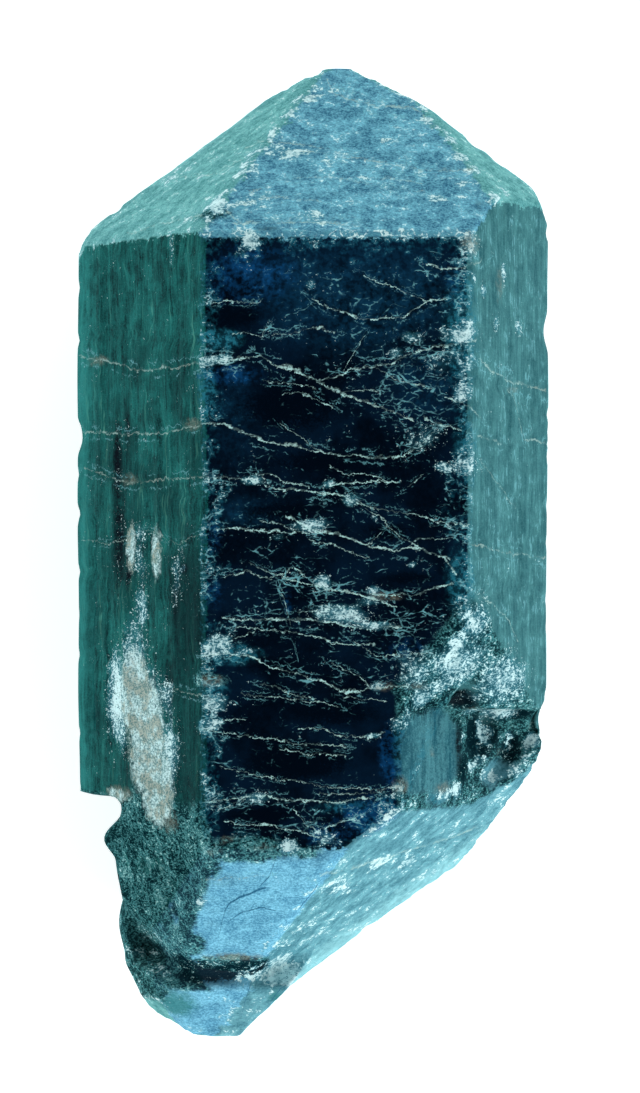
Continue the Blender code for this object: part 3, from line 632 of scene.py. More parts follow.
# ---- how the ground varies ----
CLOUD_NOISE = Noise(0.22, 3.0, 0.6)
PATCH_NOISE = Noise(0.75, 3.0, 0.62)
RAGGED_NOISE = Noise(1.9, 3.0, 0.68)
GRAIN_NOISE = Noise(6.2, 2.0, 0.75, 1.0, 1.4)
SECOND_GRAIN_NOISE = Noise(2.6, 2.0, 0.7)
STROKE_NOISE = Noise(1.3, 3.0, 0.65, 0.4, 2.0)
STRIA_NOISE = Noise(1.3, 3.0, 0.66, 1.0, 0.09)
HAIR_NOISE = Noise(6.5, 1.0, 0.6, 1.0, 0.05)
SLANT_NOISE = Noise(2.6, 3.0, 0.7)
SLANT_STRETCH = 0.2         # squeeze of the slanted strokes along their length
FIBRE_SWAY = 1.4            # mm that the striae sway from side to side at most
SOFT = (0.4, 0.6)           # a noise is drawn out from between these to 0 and 1,
SHARP = (0.38, 0.64)        # or from between these where it is finer
WEB_CELLS = Cells(0.8, 0.45, 0.03)
FINE_WEB_CELLS = Cells(2.1, 0.5, 0.02)
WEB_BEND = 0.6              # how far the web's borders are bent, in cell sizes
WEB_BEND_SCALE = 1.2        # lumps of that bending in a cell
WEB_SOFTNESS = 0.02         # mm over which the side of such a crack ends

# ---- where the faces change: from the first place to the second, in mm ----
GLOOM_Y = (24.0, 8.0)       # the left faces grow gloomy,
SHADED_Y = (5.0, -3.0)      # and are shaded below this
SHADED_Z = (8.2, 10.2)      # near the front face,
LEFT_RIM_GLOW_X = (-14.6, -16.2)     # and have a painted glow of light along their thin edge
LOW_RIM_GLOW_Z = (-1.6, -6.0)    # the lower right faces have a painted glow of light along theirs
EDGE_FROST_Y = (-20.0, -17.5)   # the front face's edges are frosted above this

# ---- how the marks are laid on ----
BORDER_SPREAD = 0.12        # mm that a face's look reaches past its edges,
FRONT_SPREAD = 0.5          # and that of the front face
PALE_SPREAD = 0.4           # and of the pale facet,
BORDER_SOFTNESS = 0.14      # the width over which it ends,
BAY_DEPTH = 1.5             # and how far its ragged bays reach past that
EDGE_FROST_WIDTH = 1.3      # mm of the front face along its edges that are frosted
FROST_LEVEL = 0.65          # grain above this is frosted where frost is unlikely,
FROST_DROP = 0.26           # and above this much less where it is certain
FROST_LIMIT = 0.95          # how likely frost is where it is at its most
FROST_SOFTNESS = 0.06       # the grain over which frost comes in
HAZE = (0.2, 0.8)           # how likely frost is where its haze begins and is whole
HALO_REACH = 11.0           # half widths of a crack that its halo reaches
POLISH = 0.2                # roughness of the front face
COAT = 0.04                 # gloss where nothing is broken or crusted

# ---- the crack curves' frame: X and Y are scaled to 0..1 over it ----
CURVE_X = (-17.0, 17.0)
CURVE_Y = (-36.0, 36.0)
END_FADE = 6.0              # half widths of distance that a line gains for each mm past its end

# ---- the stage: metres, apart from the camera's own millimetres ----
CAMERA_OFFSET = (0.65, 0.55)        # mm to the right of the crystal's middle, and above it
CAMERA_HEIGHT = 303.4               # mm above the floor
CAMERA_LENS = 140.0                 # mm
CAMERA_SENSOR = 36.0                # mm
CAMERA_CLIP_START = 0.01
KEY_LIGHT_PLACE = (0.22, -0.2, 0.16)
KEY_LIGHT_WIDTH = 0.16
SKY_FADE = (0.55, 0.86)     # heights, of 1 straight above, between which the sky darkens
FLOOR_SQUARES = 8           # on each side of the floor's mesh


def tone(red, green, blue):
    """A linear colour from its red, green and blue as a screen shows them, 0 to 255."""
    def linear(value):
        share = value / 255.0
        if share <= 0.04045:
            return share / 12.92
        return ((share + 0.055) / 1.055) ** 2.4
    return (linear(red), linear(green), linear(blue), 1.0)


# ------------------------------------------------------------------ the crystal's shape
def outward(face):
    """The unit normal of a crystal face."""
    azimuth = math.radians(face.azimuth)
    slope = math.radians(abs(face.slope))
    reach = math.sin(slope)
    rise = math.copysign(math.cos(slope), face.slope)
    return Vector((math.sin(azimuth) * reach, rise, math.cos(azimuth) * reach))


def link_mesh(name, mesh):
    """Make an object of a mesh, and free the mesh."""
    data = bpy.data.meshes.new(name)
    mesh.to_mesh(data)
    mesh.free()
    obj = bpy.data.objects.new(name, data)
    bpy.context.scene.collection.objects.link(obj)
    return obj


def cut_plane(mesh, point, normal, clear_outer):
    """Cut the mesh at a plane, clear one side of it and return the edges of the opening."""
    cut = bmesh.ops.bisect_plane(
        mesh, geom=mesh.verts[:] + mesh.edges[:] + mesh.faces[:], dist=WELD,
        plane_co=point, plane_no=normal, clear_outer=clear_outer, clear_inner=not clear_outer)
    return [item for item in cut["geom_cut"] if isinstance(item, bmesh.types.BMEdge)]


def convex_solid(name, faces, keep_inside):
    """A large cube cut by each face in turn, keeping what is inside, or outside, them all."""
    mesh = bmesh.new()
    bmesh.ops.create_cube(mesh, size=STOCK_SIZE)
    for face in faces:
        normal = outward(face)
        rim = cut_plane(mesh, normal * face.distance, normal, clear_outer=keep_inside)
        bmesh.ops.contextual_create(mesh, geom=rim)
    bmesh.ops.recalc_face_normals(mesh, faces=mesh.faces[:])
    return link_mesh(name, mesh)


def combine(target, tool, operation):
    """Join the tool to the target, or cut it out."""
    boolean = target.modifiers.new(tool.name, "BOOLEAN")
    boolean.operation = operation
    boolean.solver = "EXACT"
    boolean.object = tool


def rough_crystal(grid_size, wear_steps):
    """The crystal with plane faces, broken as it is, on an even grid with worn edges."""
    block = convex_solid("block", CRYSTAL_FACES, keep_inside=True)
    tools = []
    for name, break_faces in BREAKS.items():
        tools.append(convex_solid(name, break_faces, keep_inside=False))
        combine(block, tools[-1], "DIFFERENCE")
    tools.append(convex_solid("knob", KNOB.values(), keep_inside=True))
    combine(block, tools[-1], "UNION")
    grid = block.modifiers.new("grid", "REMESH")
    grid.mode = "VOXEL"
    grid.voxel_size = grid_size
    wear = block.modifiers.new("edge_wear", "SMOOTH")
    wear.factor = EDGE_SOFTENING
    wear.iterations = wear_steps
    mesh = bmesh.new()
    mesh.from_object(block, bpy.context.evaluated_depsgraph_get())
    for obj in [block, *tools]:
        bpy.data.objects.remove(obj, do_unlink=True)
    return mesh


def uneven(point, kind):
    """The height of one kind of unevenness at a point."""
    place = Vector((point.x / kind.across, point.y / kind.along, point.z / kind.across))
    return kind.height * noise.noise(place)


def spots_height(point, spots):
    """All the spots' heights at a point, each falling smoothly to 0 at its rim."""
    height = 0.0
    for spot in spots:
        away = point - spot.centre
        share = away.length_squared / (spot.radius * spot.radius)
        if share < 1.0:
            height += spot.height * (1.0 - share) ** 2
    return height


def groove_depth(point, groove):
    """A groove's depth at a point, from how near the groove's line is."""
    start, end = Vector(groove.start), Vector(groove.end)
    along = end - start
    share = (point - start).dot(along) / along.length_squared
    nearest = start + along * min(max(share, 0.0), 1.0)
    return groove.depth * math.exp(-((point - nearest).length / groove.width) ** 2)


def parting_depth(point, parting):
    """A crack's depth at a point: it wanders over the surface and thins out in places."""
    level = parting.y + parting.climb_x * point.x + parting.climb_z * point.z
    if abs(point.y - level) > PARTING_REACH:
        return 0.0
    across = Vector((point.x, parting.y, point.z))
    level += uneven(across, PARTING_WANDER)
    strength = max(PARTING_STRENGTH + uneven(across, PARTING_GAPS), 0.0)
    return parting.depth * strength * math.exp(-((point.y - level) / PARTING_WIDTH) ** 2)


def with_vectors(spots):
    """The spots with their centres as vectors, which are quicker to reckon with."""
    return [Spot(Vector(spot.centre), spot.radius, spot.height) for spot in spots]


def edge_chips(points):
    """Small pits at points of the mesh that lie near an edge between two faces."""
    rolls = random.Random(CHIP_SEED)
    normals = np.array([outward(face) for face in CRYSTAL_FACES])
    reach = points @ normals.T - np.array([face.distance for face in CRYSTAL_FACES])
    reach.sort(axis=1)
    near_edge = np.nonzero(reach[:, -1] - reach[:, -2] < CHIP_RADIUS[0])[0]
    chosen = [points[near_edge[rolls.randrange(len(near_edge))]] for _ in range(CHIP_COUNT)]
    return [
        Spot(Vector(place), rolls.uniform(*CHIP_RADIUS), -CHIP_DEPTH * rolls.random())
        for place in chosen]


def crack_groove(points):
    """How deep the pale cracks are at each point of the surface."""
    depth = np.zeros(len(points))
    for crack in CRACKS:
        x, y = np.array(crack.points).T
        away = np.abs(points[:, 1] - np.interp(points[:, 0], x, y))
        inside = (points[:, 0] > x[0]) & (points[:, 0] < x[-1])
        depth = np.maximum(depth, np.exp(-(away / CRACK_GROOVE_WIDTH) ** 2) * inside)
    return depth * CRACK_GROOVE_DEPTH


def relief(point, normal, spots, ground):
    """How far the surface stands out at a point."""
    on_prism = min(max((PRISM_LIMIT - abs(normal.y)) / PRISM_BLEND, 0.0), 1.0)
    faces_up = max(normal.z, 0.0) ** FACING_POWER
    faces_down = max(-normal.z, 0.0) ** FACING_POWER
    striated = on_prism * (1.0 - (1.0 - STRIAE_ON_FRONT) * faces_up)
    broken = min(spots_height(point, ground), 1.0)
    height = uneven(point, SWELL)
    height += striated * (uneven(point, COARSE_STRIAE) + uneven(point, FINE_STRIAE))
    height += (1.0 - on_prism) * uneven(point, PYRAMID_PITTING)
    if broken > 0.0:
        grit = uneven(point, BREAK_LUMPS) + uneven(point, BREAK_GRAINS) + uneven(point, BREAK_GRIT)
        height += broken * grit
    height += spots_height(point, spots)
    height -= sum(groove_depth(point, groove) for groove in GROOVES.values())
    height -= sum(parting_depth(point, parting) for parting in PARTINGS)
    return height * (1.0 - (1.0 - RELIEF_ON_BACK) * faces_down)


def carve_relief(mesh):
    """Move every point of the mesh in or out along its normal."""
    mesh.normal_update()
    points = np.array([vert.co for vert in mesh.verts])
    spots = with_vectors(SPOTS.values()) + edge_chips(points)
    ground = with_vectors(BROKEN_GROUND.values())
    cracks = crack_groove(points)
    heights = [relief(vert.co, vert.normal, spots, ground) for vert in mesh.verts]
    for vert, height, crack in zip(mesh.verts, heights, cracks):
        vert.co += vert.normal * (height - crack)


def wear_flat(mesh):
    """Wear the back face flat where the crystal rests on it."""
    place = (0.0, 0.0, REST_WEAR - BACK_DISTANCE)
    rim = cut_plane(mesh, place, (0.0, 0.0, -1.0), clear_outer=True)
    bmesh.ops.triangle_fill(mesh, edges=rim, use_beauty=True)
    bmesh.ops.recalc_face_normals(mesh, faces=mesh.faces[:])


def middle(corners):
    """The middle of a box, from its lowest and highest corner."""
    low, high = corners
    return (Vector(low) + Vector(high)) / 2


def set_in_frame(obj):
    """Put the crystal where its solid is, and keep its own centre as its origin."""
    corners = [Vector(corner) for corner in obj.bound_box]
    low = Vector([min(corner[axis] for corner in corners) for axis in range(3)])
    high = Vector([max(corner[axis] for corner in corners) for axis in range(3)])
    obj.location = middle(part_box(NODE)) - middle((low, high))


# ------------------------------------------------------------------ fields on the surface
def outside(points, face):
    """How far outside a face's plane each point is."""
    return points @ np.array(outward(face)) - face.distance


def face_fields(points):
    """How near each point is to each kind of face, to the next edge and to broken ground."""
    reach = {
        (group, name): outside(points, face)
        for group, faces in FACE_GROUPS.items() for name, face in faces.items()}
    in_order = np.sort(np.array(list(reach.values())), axis=0)
    outermost = in_order[-1]
    fields = {"edge": outermost - in_order[-2]}
    for look, keys in LOOKS.items():
        fields[look] = np.maximum.reduce([reach[key] for key in keys]) - outermost
    into_breaks = []
    for name in ROUGH_BREAKS:
        past_faces = [outside(points, face) for face in BREAKS[name]]
        into_breaks.append(np.minimum.reduce(past_faces))
    fields["broken"] = np.maximum.reduce(into_breaks)
    return fields


def patch_field(points, patches):
    """The strongest of some patches at each point, 0 outside them all."""
    strongest = np.zeros(len(points))
    for patch in patches:
        away = np.linalg.norm((points - patch.centre) / patch.radii, axis=1)
        strongest = np.maximum(strongest, patch.strength * (1.0 - away))
    return strongest


def add_fields(obj):
    """Store the fields that the finish reads on the crystal's mesh."""
    points = np.empty(len(obj.data.vertices) * 3)
    obj.data.vertices.foreach_get("co", points)
    points = points.reshape(-1, 3) / MM
    fields = face_fields(points)
    for name, patches in PATCHES.items():
        fields[name] = patch_field(points, patches)
    on_pyramid = np.maximum(fields["steel"], fields["moss"]) > -WELD
    on_pale = np.maximum(fields["pale"], fields["mint"]) > -WELD
    fields["rough"] = np.maximum.reduce([
        np.clip(1.0 + fields["broken"] * 2.0, 0.0, 1.0), np.clip(fields["shattered"], 0.0, 1.0),
        np.clip(fields["calcite"] * 2.0, 0.0, 1.0), on_pyramid * 0.45, on_pale * 0.35])
    for name, values in fields.items():
        attribute = obj.data.attributes.new(name, "FLOAT", "POINT")
        attribute.data.foreach_set("value", values.astype(np.float32))


# ------------------------------------------------------------------ shader expressions
class Signal:
    """A shader socket. Arithmetic on it adds the Math nodes that work it out."""

    def __init__(self, nodes, socket):
        self.nodes = nodes
        self.socket = socket

    def math(self, operation, *others, clamp=False):
        settings = {"operation": operation, "use_clamp": clamp}
        return self.nodes.add("ShaderNodeMath", settings, dict(enumerate((self, *others))))

    def __add__(self, other):
        return self.math("ADD", other)

    __radd__ = __add__

    def __sub__(self, other):
        return self.math("SUBTRACT", other)

    def __rsub__(self, other):
        return self.math("MULTIPLY_ADD", -1.0, other)

    def __mul__(self, other):
        return self.math("MULTIPLY", other)

    __rmul__ = __mul__

    def __abs__(self):
        return self.math("ABSOLUTE")

    def beside(self, output):
        """Another output of the same node."""
        return Signal(self.nodes, self.socket.node.outputs[output])

    def scaled(self, factor, offset):
        return self.math("MULTIPLY_ADD", factor, offset)

    def least(self, other):
        return self.math("MINIMUM", other)

    def most(self, other):
        return self.math("MAXIMUM", other)

    def clamped(self):
        """The same, kept between 0 and 1."""
        return self.math("ADD", 0.0, clamp=True)

    def rise(self, low, high, start=0.0, end=1.0):
        """From start, at low and below it, smoothly to end, at high and above it."""
        return self.nodes.add("ShaderNodeMapRange", {"interpolation_type": "SMOOTHSTEP"}, {
            "Value": self, "From Min": low, "From Max": high, "To Min": start, "To Max": end})


class Nodes:
    """A node tree, in which every node is made by one method."""

    def __init__(self, tree):
        self.tree = tree

    def add(self, kind, settings, sockets, output=0):
        """Any node: its type, its settings, what feeds its sockets and the output used."""
        made = self.tree.nodes.new(kind)
        for name, value in settings.items():
            if name == "points":
                self.set_curves(made.mapping, value)
            else:
                setattr(made, name, value)
        for key, value in sockets.items():
            self.feed(made.inputs[key], value)
        return Signal(self, made.outputs[output])

    def set_curves(self, mapping, curves):
        """Give a mapping its curves, each a list of points in order."""
        mapping.use_clip = False
        for curve, points in zip(mapping.curves, curves):
            curve.points[0].location = points[0]
            curve.points[-1].location = points[-1]
            for place in points[1:-1]:
                curve.points.new(*place)
            for spot in curve.points:
                spot.handle_type = "VECTOR"
        mapping.update()

    def feed(self, socket, value):
        """Link a signal to a socket, or set the socket to a value."""
        if isinstance(value, Signal):
            self.tree.links.new(value.socket, socket)
        else:
            socket.default_value = value

    def vector(self, operation, *operands):
        settings = {"operation": operation}
        return self.add("ShaderNodeVectorMath", settings, dict(enumerate(operands)))

    def combined(self, x, y, z):
        """A vector from three signals or numbers."""
        return self.add("ShaderNodeCombineXYZ", {}, {0: x, 1: y, 2: z})

    def mix(self, share, first, second):
        """A colour between two others."""
        settings = {"data_type": "RGBA"}
        return self.add("ShaderNodeMix", settings, {0: share, 6: first, 7: second}, output=2)


class Finish(Nodes):
    """A material and the nodes that make it vary over the surface."""

    def __init__(self, name):
        self.material = bpy.data.materials.new(name)
        self.material.use_nodes = True
        super().__init__(self.material.node_tree)
        self.shader = self.tree.nodes["Principled BSDF"]

    def set(self, **values):
        """Set the shader's own sockets, named with _ for a space."""
        for name, value in values.items():
            self.feed(self.shader.inputs[name.replace("_", " ")], value)


class Place:
    """Where a point of the crystal is, and how the ground varies around it."""

    def __init__(self, finish):
        self.finish = finish
        coordinates = finish.add("ShaderNodeTexCoord", {}, {}, output="Object")
        self.point = finish.vector("MULTIPLY", coordinates, (1 / MM, 1 / MM, 1 / MM))
        self.x = finish.add("ShaderNodeSeparateXYZ", {}, {0: self.point})
        self.y, self.z = self.x.beside("Y"), self.x.beside("Z")
        self.clouds = self.noise(CLOUD_NOISE)
        self.patches = self.noise(PATCH_NOISE)
        self.ragged = self.noise(RAGGED_NOISE) - 0.5
        self.bays = self.ragged.most(0.0) * BAY_DEPTH
        self.grain = self.noise(GRAIN_NOISE)
        self.second_grain = self.noise(SECOND_GRAIN_NOISE)
        self.coarse = self.grain * 0.65 + self.second_grain * 0.35
        self.strokes = self.noise(STROKE_NOISE)
        sway = (self.clouds - 0.5) * FIBRE_SWAY
        swaying = finish.vector("ADD", self.point, finish.combined(sway, 0.0, sway))
        self.striae = self.noise(STRIA_NOISE, swaying)
        self.hair = self.noise(HAIR_NOISE, swaying)
        slanted = finish.combined(self.x - self.y, (self.x + self.y) * SLANT_STRETCH, 0.0)
        self.slant = self.noise(SLANT_NOISE, slanted)

    def noise(self, kind, point=None):
        """One kind of noise, about 0.5 on the whole."""
        point = point or self.point
        if kind.across != 1.0 or kind.along != 1.0:
            point = self.finish.vector("MULTIPLY", point, (kind.across, kind.along, kind.across))
        return self.finish.add("ShaderNodeTexNoise", {}, {
            "Vector": point, "Scale": kind.scale, "Detail": kind.detail,
            "Roughness": kind.roughness})

    def web(self, kind, dense):
        """Fine cracks, the borders of flat cells: thicker and brighter where they are dense."""
        bend = self.noise(Noise(kind.scale * WEB_BEND_SCALE, 2.0, 0.6)).beside("Color")
        bent = self.finish.vector("MULTIPLY_ADD", bend, (WEB_BEND / kind.scale,) * 3, self.point)
        flat = self.finish.vector("MULTIPLY", bent, (kind.across, 1.0, kind.across))
        settings = {"voronoi_dimensions": "2D", "feature": "DISTANCE_TO_EDGE"}
        sockets = {"Vector": flat, "Scale": kind.scale}
        border = self.finish.add("ShaderNodeTexVoronoi", settings, sockets)
        past_crack = border - dense * (kind.thickness * kind.scale)
        return past_crack.rise(WEB_SOFTNESS * kind.scale, 0.0) * dense

    def field(self, name):
        """A field that is stored on the mesh."""
        settings = {"attribute_name": name}
        return self.finish.add("ShaderNodeAttribute", settings, {}, output="Fac")

    def stain(self, name):
        """A stain with a ragged border."""
        kind = STAINS[name]
        return (self.field(name) * self.ragged.scaled(kind.ragged, 1.0)).rise(kind.low, kind.high)

    def on(self, look, spread=BORDER_SPREAD):
        """1 on the faces of a look, up to a ragged border a little past their edges."""
        return (self.field(look) + self.bays).rise(-spread - BORDER_SOFTNESS, -spread)

    def from_lines(self, lines, wander):
        """How many of its half widths the nearest line is away, three lines to a node."""
        finish = self.finish
        low_x, high_x = CURVE_X
        low_y, high_y = CURVE_Y
        wide, high = high_x - low_x, high_y - low_y
        x_share = self.x.scaled(1 / wide, -low_x / wide)
        y_share = (self.y + wander).scaled(1 / high, -low_y / high)
        x_share, x, y_share = (
            finish.combined(value, value, value) for value in (x_share, self.x, y_share))
        nearest = None
        for first in range(0, len(lines), 3):
            three = [lines[min(first + step, len(lines) - 1)] for step in range(3)]
            curves = [
                [((at_x - low_x) / wide, (at_y - low_y) / high) for at_x, at_y in line.points]
                for line in three]
            middles = [(line.points[0][0] + line.points[-1][0]) / 2 for line in three]
            halves = [(line.points[-1][0] - line.points[0][0]) / 2 for line in three]
            level = finish.add("ShaderNodeVectorCurve", {"points": curves}, {"Vector": x_share})
            from_middle = finish.vector("ABSOLUTE", finish.vector("SUBTRACT", x, middles))
            fades_from = [-END_FADE * half for half in halves]
            past_end = finish.vector("MULTIPLY_ADD", from_middle, (END_FADE,) * 3, fades_from)
            past_end = finish.vector("MAXIMUM", past_end, (0.0,) * 3)
            off_level = finish.vector("ABSOLUTE", finish.vector("SUBTRACT", y_share, level))
            away = finish.vector(
                "MULTIPLY_ADD", off_level, [high / line.width for line in three], past_end)
            nearest = away if nearest is None else finish.vector("MINIMUM", nearest, away)
        away_x = finish.add("ShaderNodeSeparateXYZ", {}, {0: nearest})
        return away_x.least(away_x.beside("Y")).least(away_x.beside("Z"))


# ------------------------------------------------------------------ the crystal's finish
# In its sums, a factor is the share that a noise or a mark has, and a last number sets the level.
class Marks:
    """How much of each mark a point has, and how many half widths it is from a crack."""

    def __init__(self, place):
        patches, second_grain, ragged = place.patches, place.second_grain, place.ragged
        self.front = place.on("front")
        self.pyramid = place.on("steel").most(place.on("moss"))
        self.mottled = (second_grain + (place.grain - 0.5) * 0.096).rise(*SOFT)
        self.pane = place.stain("pane")
        self.teal = place.stain("teal")
        self.calcite = place.stain("calcite")
        self.calcite_dust = place.field("calcite_dust")
        broken = (place.field("broken") + ragged * 0.5).rise(-0.45, -0.1)
        self.rubble = (
            broken.most(place.stain("rubble")) * (1.0 - self.pane) * (1.0 - self.teal * 0.85))
        speckled = ragged * 1.6 + (place.grain - 0.5) * 1.92 + 1.0
        # dark body colour, and painted shadow in the notch's cavity and the cleft
        self.black = (place.field("black") * speckled).rise(0.1, 0.6)
        self.ochre = place.stain("ochre") * (1.0 - self.black)

        wander = (patches - 0.5) * 0.8 + (second_grain - 0.5) * 0.4 + (place.grain - 0.5) * 0.3
        uneven_width = patches.scaled(3.4, -0.45).most(0.5)
        self.from_crack = place.from_lines(CRACKS + FINE_CRACKS, wander) * uneven_width
        self.halo = self.from_crack.rise(HALO_REACH, 0.0)
        self.hairline = place.from_lines(HAIRLINES, wander * 0.4).rise(1.3, 0.4)

        near_edge = place.field("edge") * (-1 / EDGE_FROST_WIDTH) + patches * 4.4 - 1.25
        self.edge_band = near_edge.clamped() * self.front * place.y.rise(*EDGE_FROST_Y)
        self.webbed = place.field("web")
        self.frosting = self.likely_frost(place)
        threshold = self.frosting.least(FROST_LIMIT).scaled(-FROST_DROP, FROST_LEVEL)
        self.frost = place.coarse.rise(threshold, threshold + FROST_SOFTNESS)

    def likely_frost(self, place):
        """How likely a grain of the surface is to be shattered to frost."""
        patches, slant = place.patches, place.slant
        ridge = place.field("steel").least(place.field("moss")).rise(-0.7, -0.1)
        return (
            patches.scaled(1.0, -0.56)
            + self.black * self.front.scaled(-0.5, 0.2)
            + self.edge_band * 0.28
            + self.halo * 0.08
            + place.field("shattered") * 0.9
            + self.webbed * 0.04
            + self.calcite_dust * 0.9
            + self.pyramid * (patches * 2.6 + place.strokes * 1.2 - 1.98)
            + ridge * patches.scaled(2.6, -0.8)
            - self.pane * 0.5
            + self.rubble * 0.08
            + place.on("mint") * (slant * 0.5 + patches * 2.9 - 1.64)
        )


def prism_colours(place, colours):
    """The dark front face, the green left faces and the grey right ones."""
    mix = place.finish.mix
    streaks, hair = place.striae.rise(0.36, 0.66), place.hair.rise(*SHARP)
    fine, patches = place.grain.rise(*SHARP), place.patches.rise(*SOFT)
    fibres = streaks * 0.35 + hair * 0.2 + fine * 0.2 + patches * 0.25
    mottled = patches * 0.6 + place.second_grain.rise(*SOFT) * 0.4

    cloudy = place.clouds.rise(0.4, 0.62) * 0.6 + mottled * 0.3
    dark = mix(cloudy, colours.black, colours.navy)
    dark = mix(place.stain("ink") * mottled.scaled(0.8, 0.1), dark, colours.ink_blue)

    green = mix(fibres, colours.deep_green, colours.green)
    strands = place.striae.rise(0.56, 0.64) * place.hair.rise(0.5, 0.6)
    green = mix(strands * 0.6, green, colours.light_green)
    gloom = (place.clouds * 0.5 + place.patches * 0.3 + place.striae * 0.2).rise(0.47, 0.56)
    green = mix(gloom * place.y.rise(*GLOOM_Y) * 0.5, green, colours.deep_green)
    # painted glow of light through the left faces' thin edge
    left_rim_glow = (place.x + place.ragged * 1.2).rise(*LEFT_RIM_GLOW_X)
    green = mix(left_rim_glow * fibres.scaled(0.6, 0.35), green, colours.rim_glow_green)
    shaded = place.z.rise(*SHADED_Z) * place.y.rise(*SHADED_Y) * mottled.scaled(0.3, 0.4)
    green = mix(shaded, green, colours.deep_green)

    # the right faces' grey is their own tint with a painted sheen in it
    grey = mix(fibres, colours.deep_teal, colours.grey_teal)
    dashes = place.hair.rise(0.56, 0.62) * place.patches.rise(0.5, 0.58)
    grey = mix(dashes * 0.4, grey, colours.mint)

    colour = mix(mottled, colours.deep_teal, colours.rubble)
    colour = mix(place.on("front", spread=FRONT_SPREAD), colour, dark)
    colour = mix(place.on("green_sides"), colour, green)
    return mix(place.on("grey_sides"), colour, grey)


def end_colours(place, colours, colour):
    """The faces of the whole pyramid and of the broken one, over a colour."""
    mix = place.finish.mix
    fine, patches = place.grain.rise(*SHARP), place.patches.rise(*SOFT)
    worn = fine * 0.4 + patches * 0.36 + place.second_grain.rise(*SOFT) * 0.24
    # the pyramid faces' colours are their worn tint with a painted sheen of the sky in it
    colour = mix(place.on("steel"), colour, mix(worn, colours.deep_steel, colours.steel))
    colour = mix(place.on("moss"), colour, mix(worn, colours.deep_moss, colours.moss))

    slant = place.slant.rise(0.38, 0.62) * 0.25 + patches * 0.45 + fine * 0.3
    mint = mix(slant, colours.deep_mint, colours.mint)
    # painted glow of light through the lower right faces' thin edge
    low_rim_glow = (place.z + place.ragged * 6.0).rise(*LOW_RIM_GLOW_Z)
    mint = mix(low_rim_glow * slant.scaled(0.5, 0.45), mint, colours.rim_glow_cyan)
    colour = mix(place.on("mint"), colour, mint)

    pale = mix(fine * 0.65 + patches * 0.35, colours.deep_pale, colours.pale)
    on_pale = place.on("pale", spread=PALE_SPREAD).most(place.stain("whole_facet"))
    return mix(on_pale, colour, pale)


def stained(place, marks, colours, colour):
    """A colour under the stains and the rubble of the breaks."""
    mix = place.finish.mix
    mottled, patches = marks.mottled, place.patches
    colour = mix(marks.teal * mottled.scaled(0.7, 0.15), colour, colours.teal)
    blotches = patches.rise(0.4, 0.58) * 0.6 + mottled * 0.4
    colour = mix(place.stain("blue") * blotches * 0.9, colour, colours.blue)
    striped = (place.striae * 0.5 + place.coarse * 0.5).rise(0.4, 0.62)
    colour = mix(marks.pane, colour, mix(striped, colours.deep_pane, colours.pane))
    # painted glow of light through the thin edges at the broken end
    colour = mix(place.stain("jade") * 0.8, colour, colours.jade)
    # black body colour, and painted shadow in the notch's cavity and the cleft
    colour = mix(marks.black * 0.96, colour, colours.black)
    clods = place.coarse + patches * 0.4 - marks.black * 0.08 - 0.2
    grains = mix(clods.rise(0.44, 0.56), colours.deep_rubble, colours.rubble)
    grains = mix(clods.rise(0.58, 0.65), grains, colours.pale_rubble)
    return mix(marks.rubble * 0.92, colour, grains)


def frosted(place, marks, colours, colour):
    """A colour under frost, with a haze around it."""
    mix = place.finish.mix
    whiteness = (place.second_grain * 0.6 + place.patches * 0.4).rise(0.42, 0.6)
    whiteness = whiteness.most(marks.calcite_dust * 0.85)
    frost_colour = mix(whiteness.scaled(0.7, 0.3), colours.cyan_frost, colours.white_frost)
    haze = marks.frosting.rise(*HAZE) * marks.mottled.scaled(0.4, 0.5)
    colour = mix(marks.edge_band * marks.mottled * 0.5, colour, colours.teal)
    colour = mix(haze, colour, colours.cyan_frost)
    return mix(marks.frost * 0.92, colour, frost_colour)


def crusted(place, marks, colours, colour):
    """A colour under ochre and the calcite crust."""
    mix = place.finish.mix
    dusty = place.grain.rise(0.35, 0.6) * 0.4 + 0.2
    colour = mix(marks.ochre * dusty, colour, colours.ochre)
    crust = mix(place.patches.rise(0.45, 0.6), colours.calcite, colours.calcite_beige)
    crust = mix(place.coarse.rise(0.55, 0.42) * 0.8, crust, colours.calcite_shade)
    return mix(marks.calcite * 0.9, colour, crust)


def cracked(place, marks, colours, colour):
    """A colour under the fine webs, the pale crack lines, their strands and the hairlines."""
    mix = place.finish.mix
    front, pyramid, patches, strokes = marks.front, marks.pyramid, place.patches, place.strokes
    dense = strokes * 0.5 + patches * 0.5 + marks.webbed * 0.11 + marks.halo * 0.03
    web = place.web(WEB_CELLS, dense.rise(0.53, 0.68))
    dense = (
        place.second_grain * 0.5 + patches * 0.5 + marks.webbed * 0.12 + marks.halo * 0.05
        + marks.edge_band * 0.07 + pyramid * 0.04)
    web = web.most(place.web(FINE_WEB_CELLS, dense.rise(0.54, 0.7)))
    web = web * (front * 0.85 + pyramid * 0.7 + 0.1) * (1.0 - marks.black * 0.7)
    whitened = pyramid.most(marks.frosting.rise(*HAZE))
    web_colour = mix(whitened, colours.web, colours.white_frost)
    colour = mix(web * strokes.rise(0.36, 0.6).scaled(0.65, 0.3), colour, web_colour)

    broken_up = (place.second_grain * 0.5 + strokes * 0.5).rise(0.43, 0.56)
    line = marks.from_crack.rise(0.8, 0.3) * broken_up.scaled(0.85, 0.1)
    line = line * front.scaled(0.35, 0.65)
    rusty = place.clouds.rise(0.5, 0.6) * 0.3 + (1.0 - front) * 0.4
    colour = mix(line, colour, mix(rusty, colours.crack, colours.ochre))
    strand = abs(marks.from_crack - 6.0 - place.ragged * 10.0).rise(0.8, 0.2)
    colour = mix(strand * patches.rise(0.48, 0.56) * 0.6, colour, colours.web)
    return mix(marks.hairline, colour, colours.deep_steel)


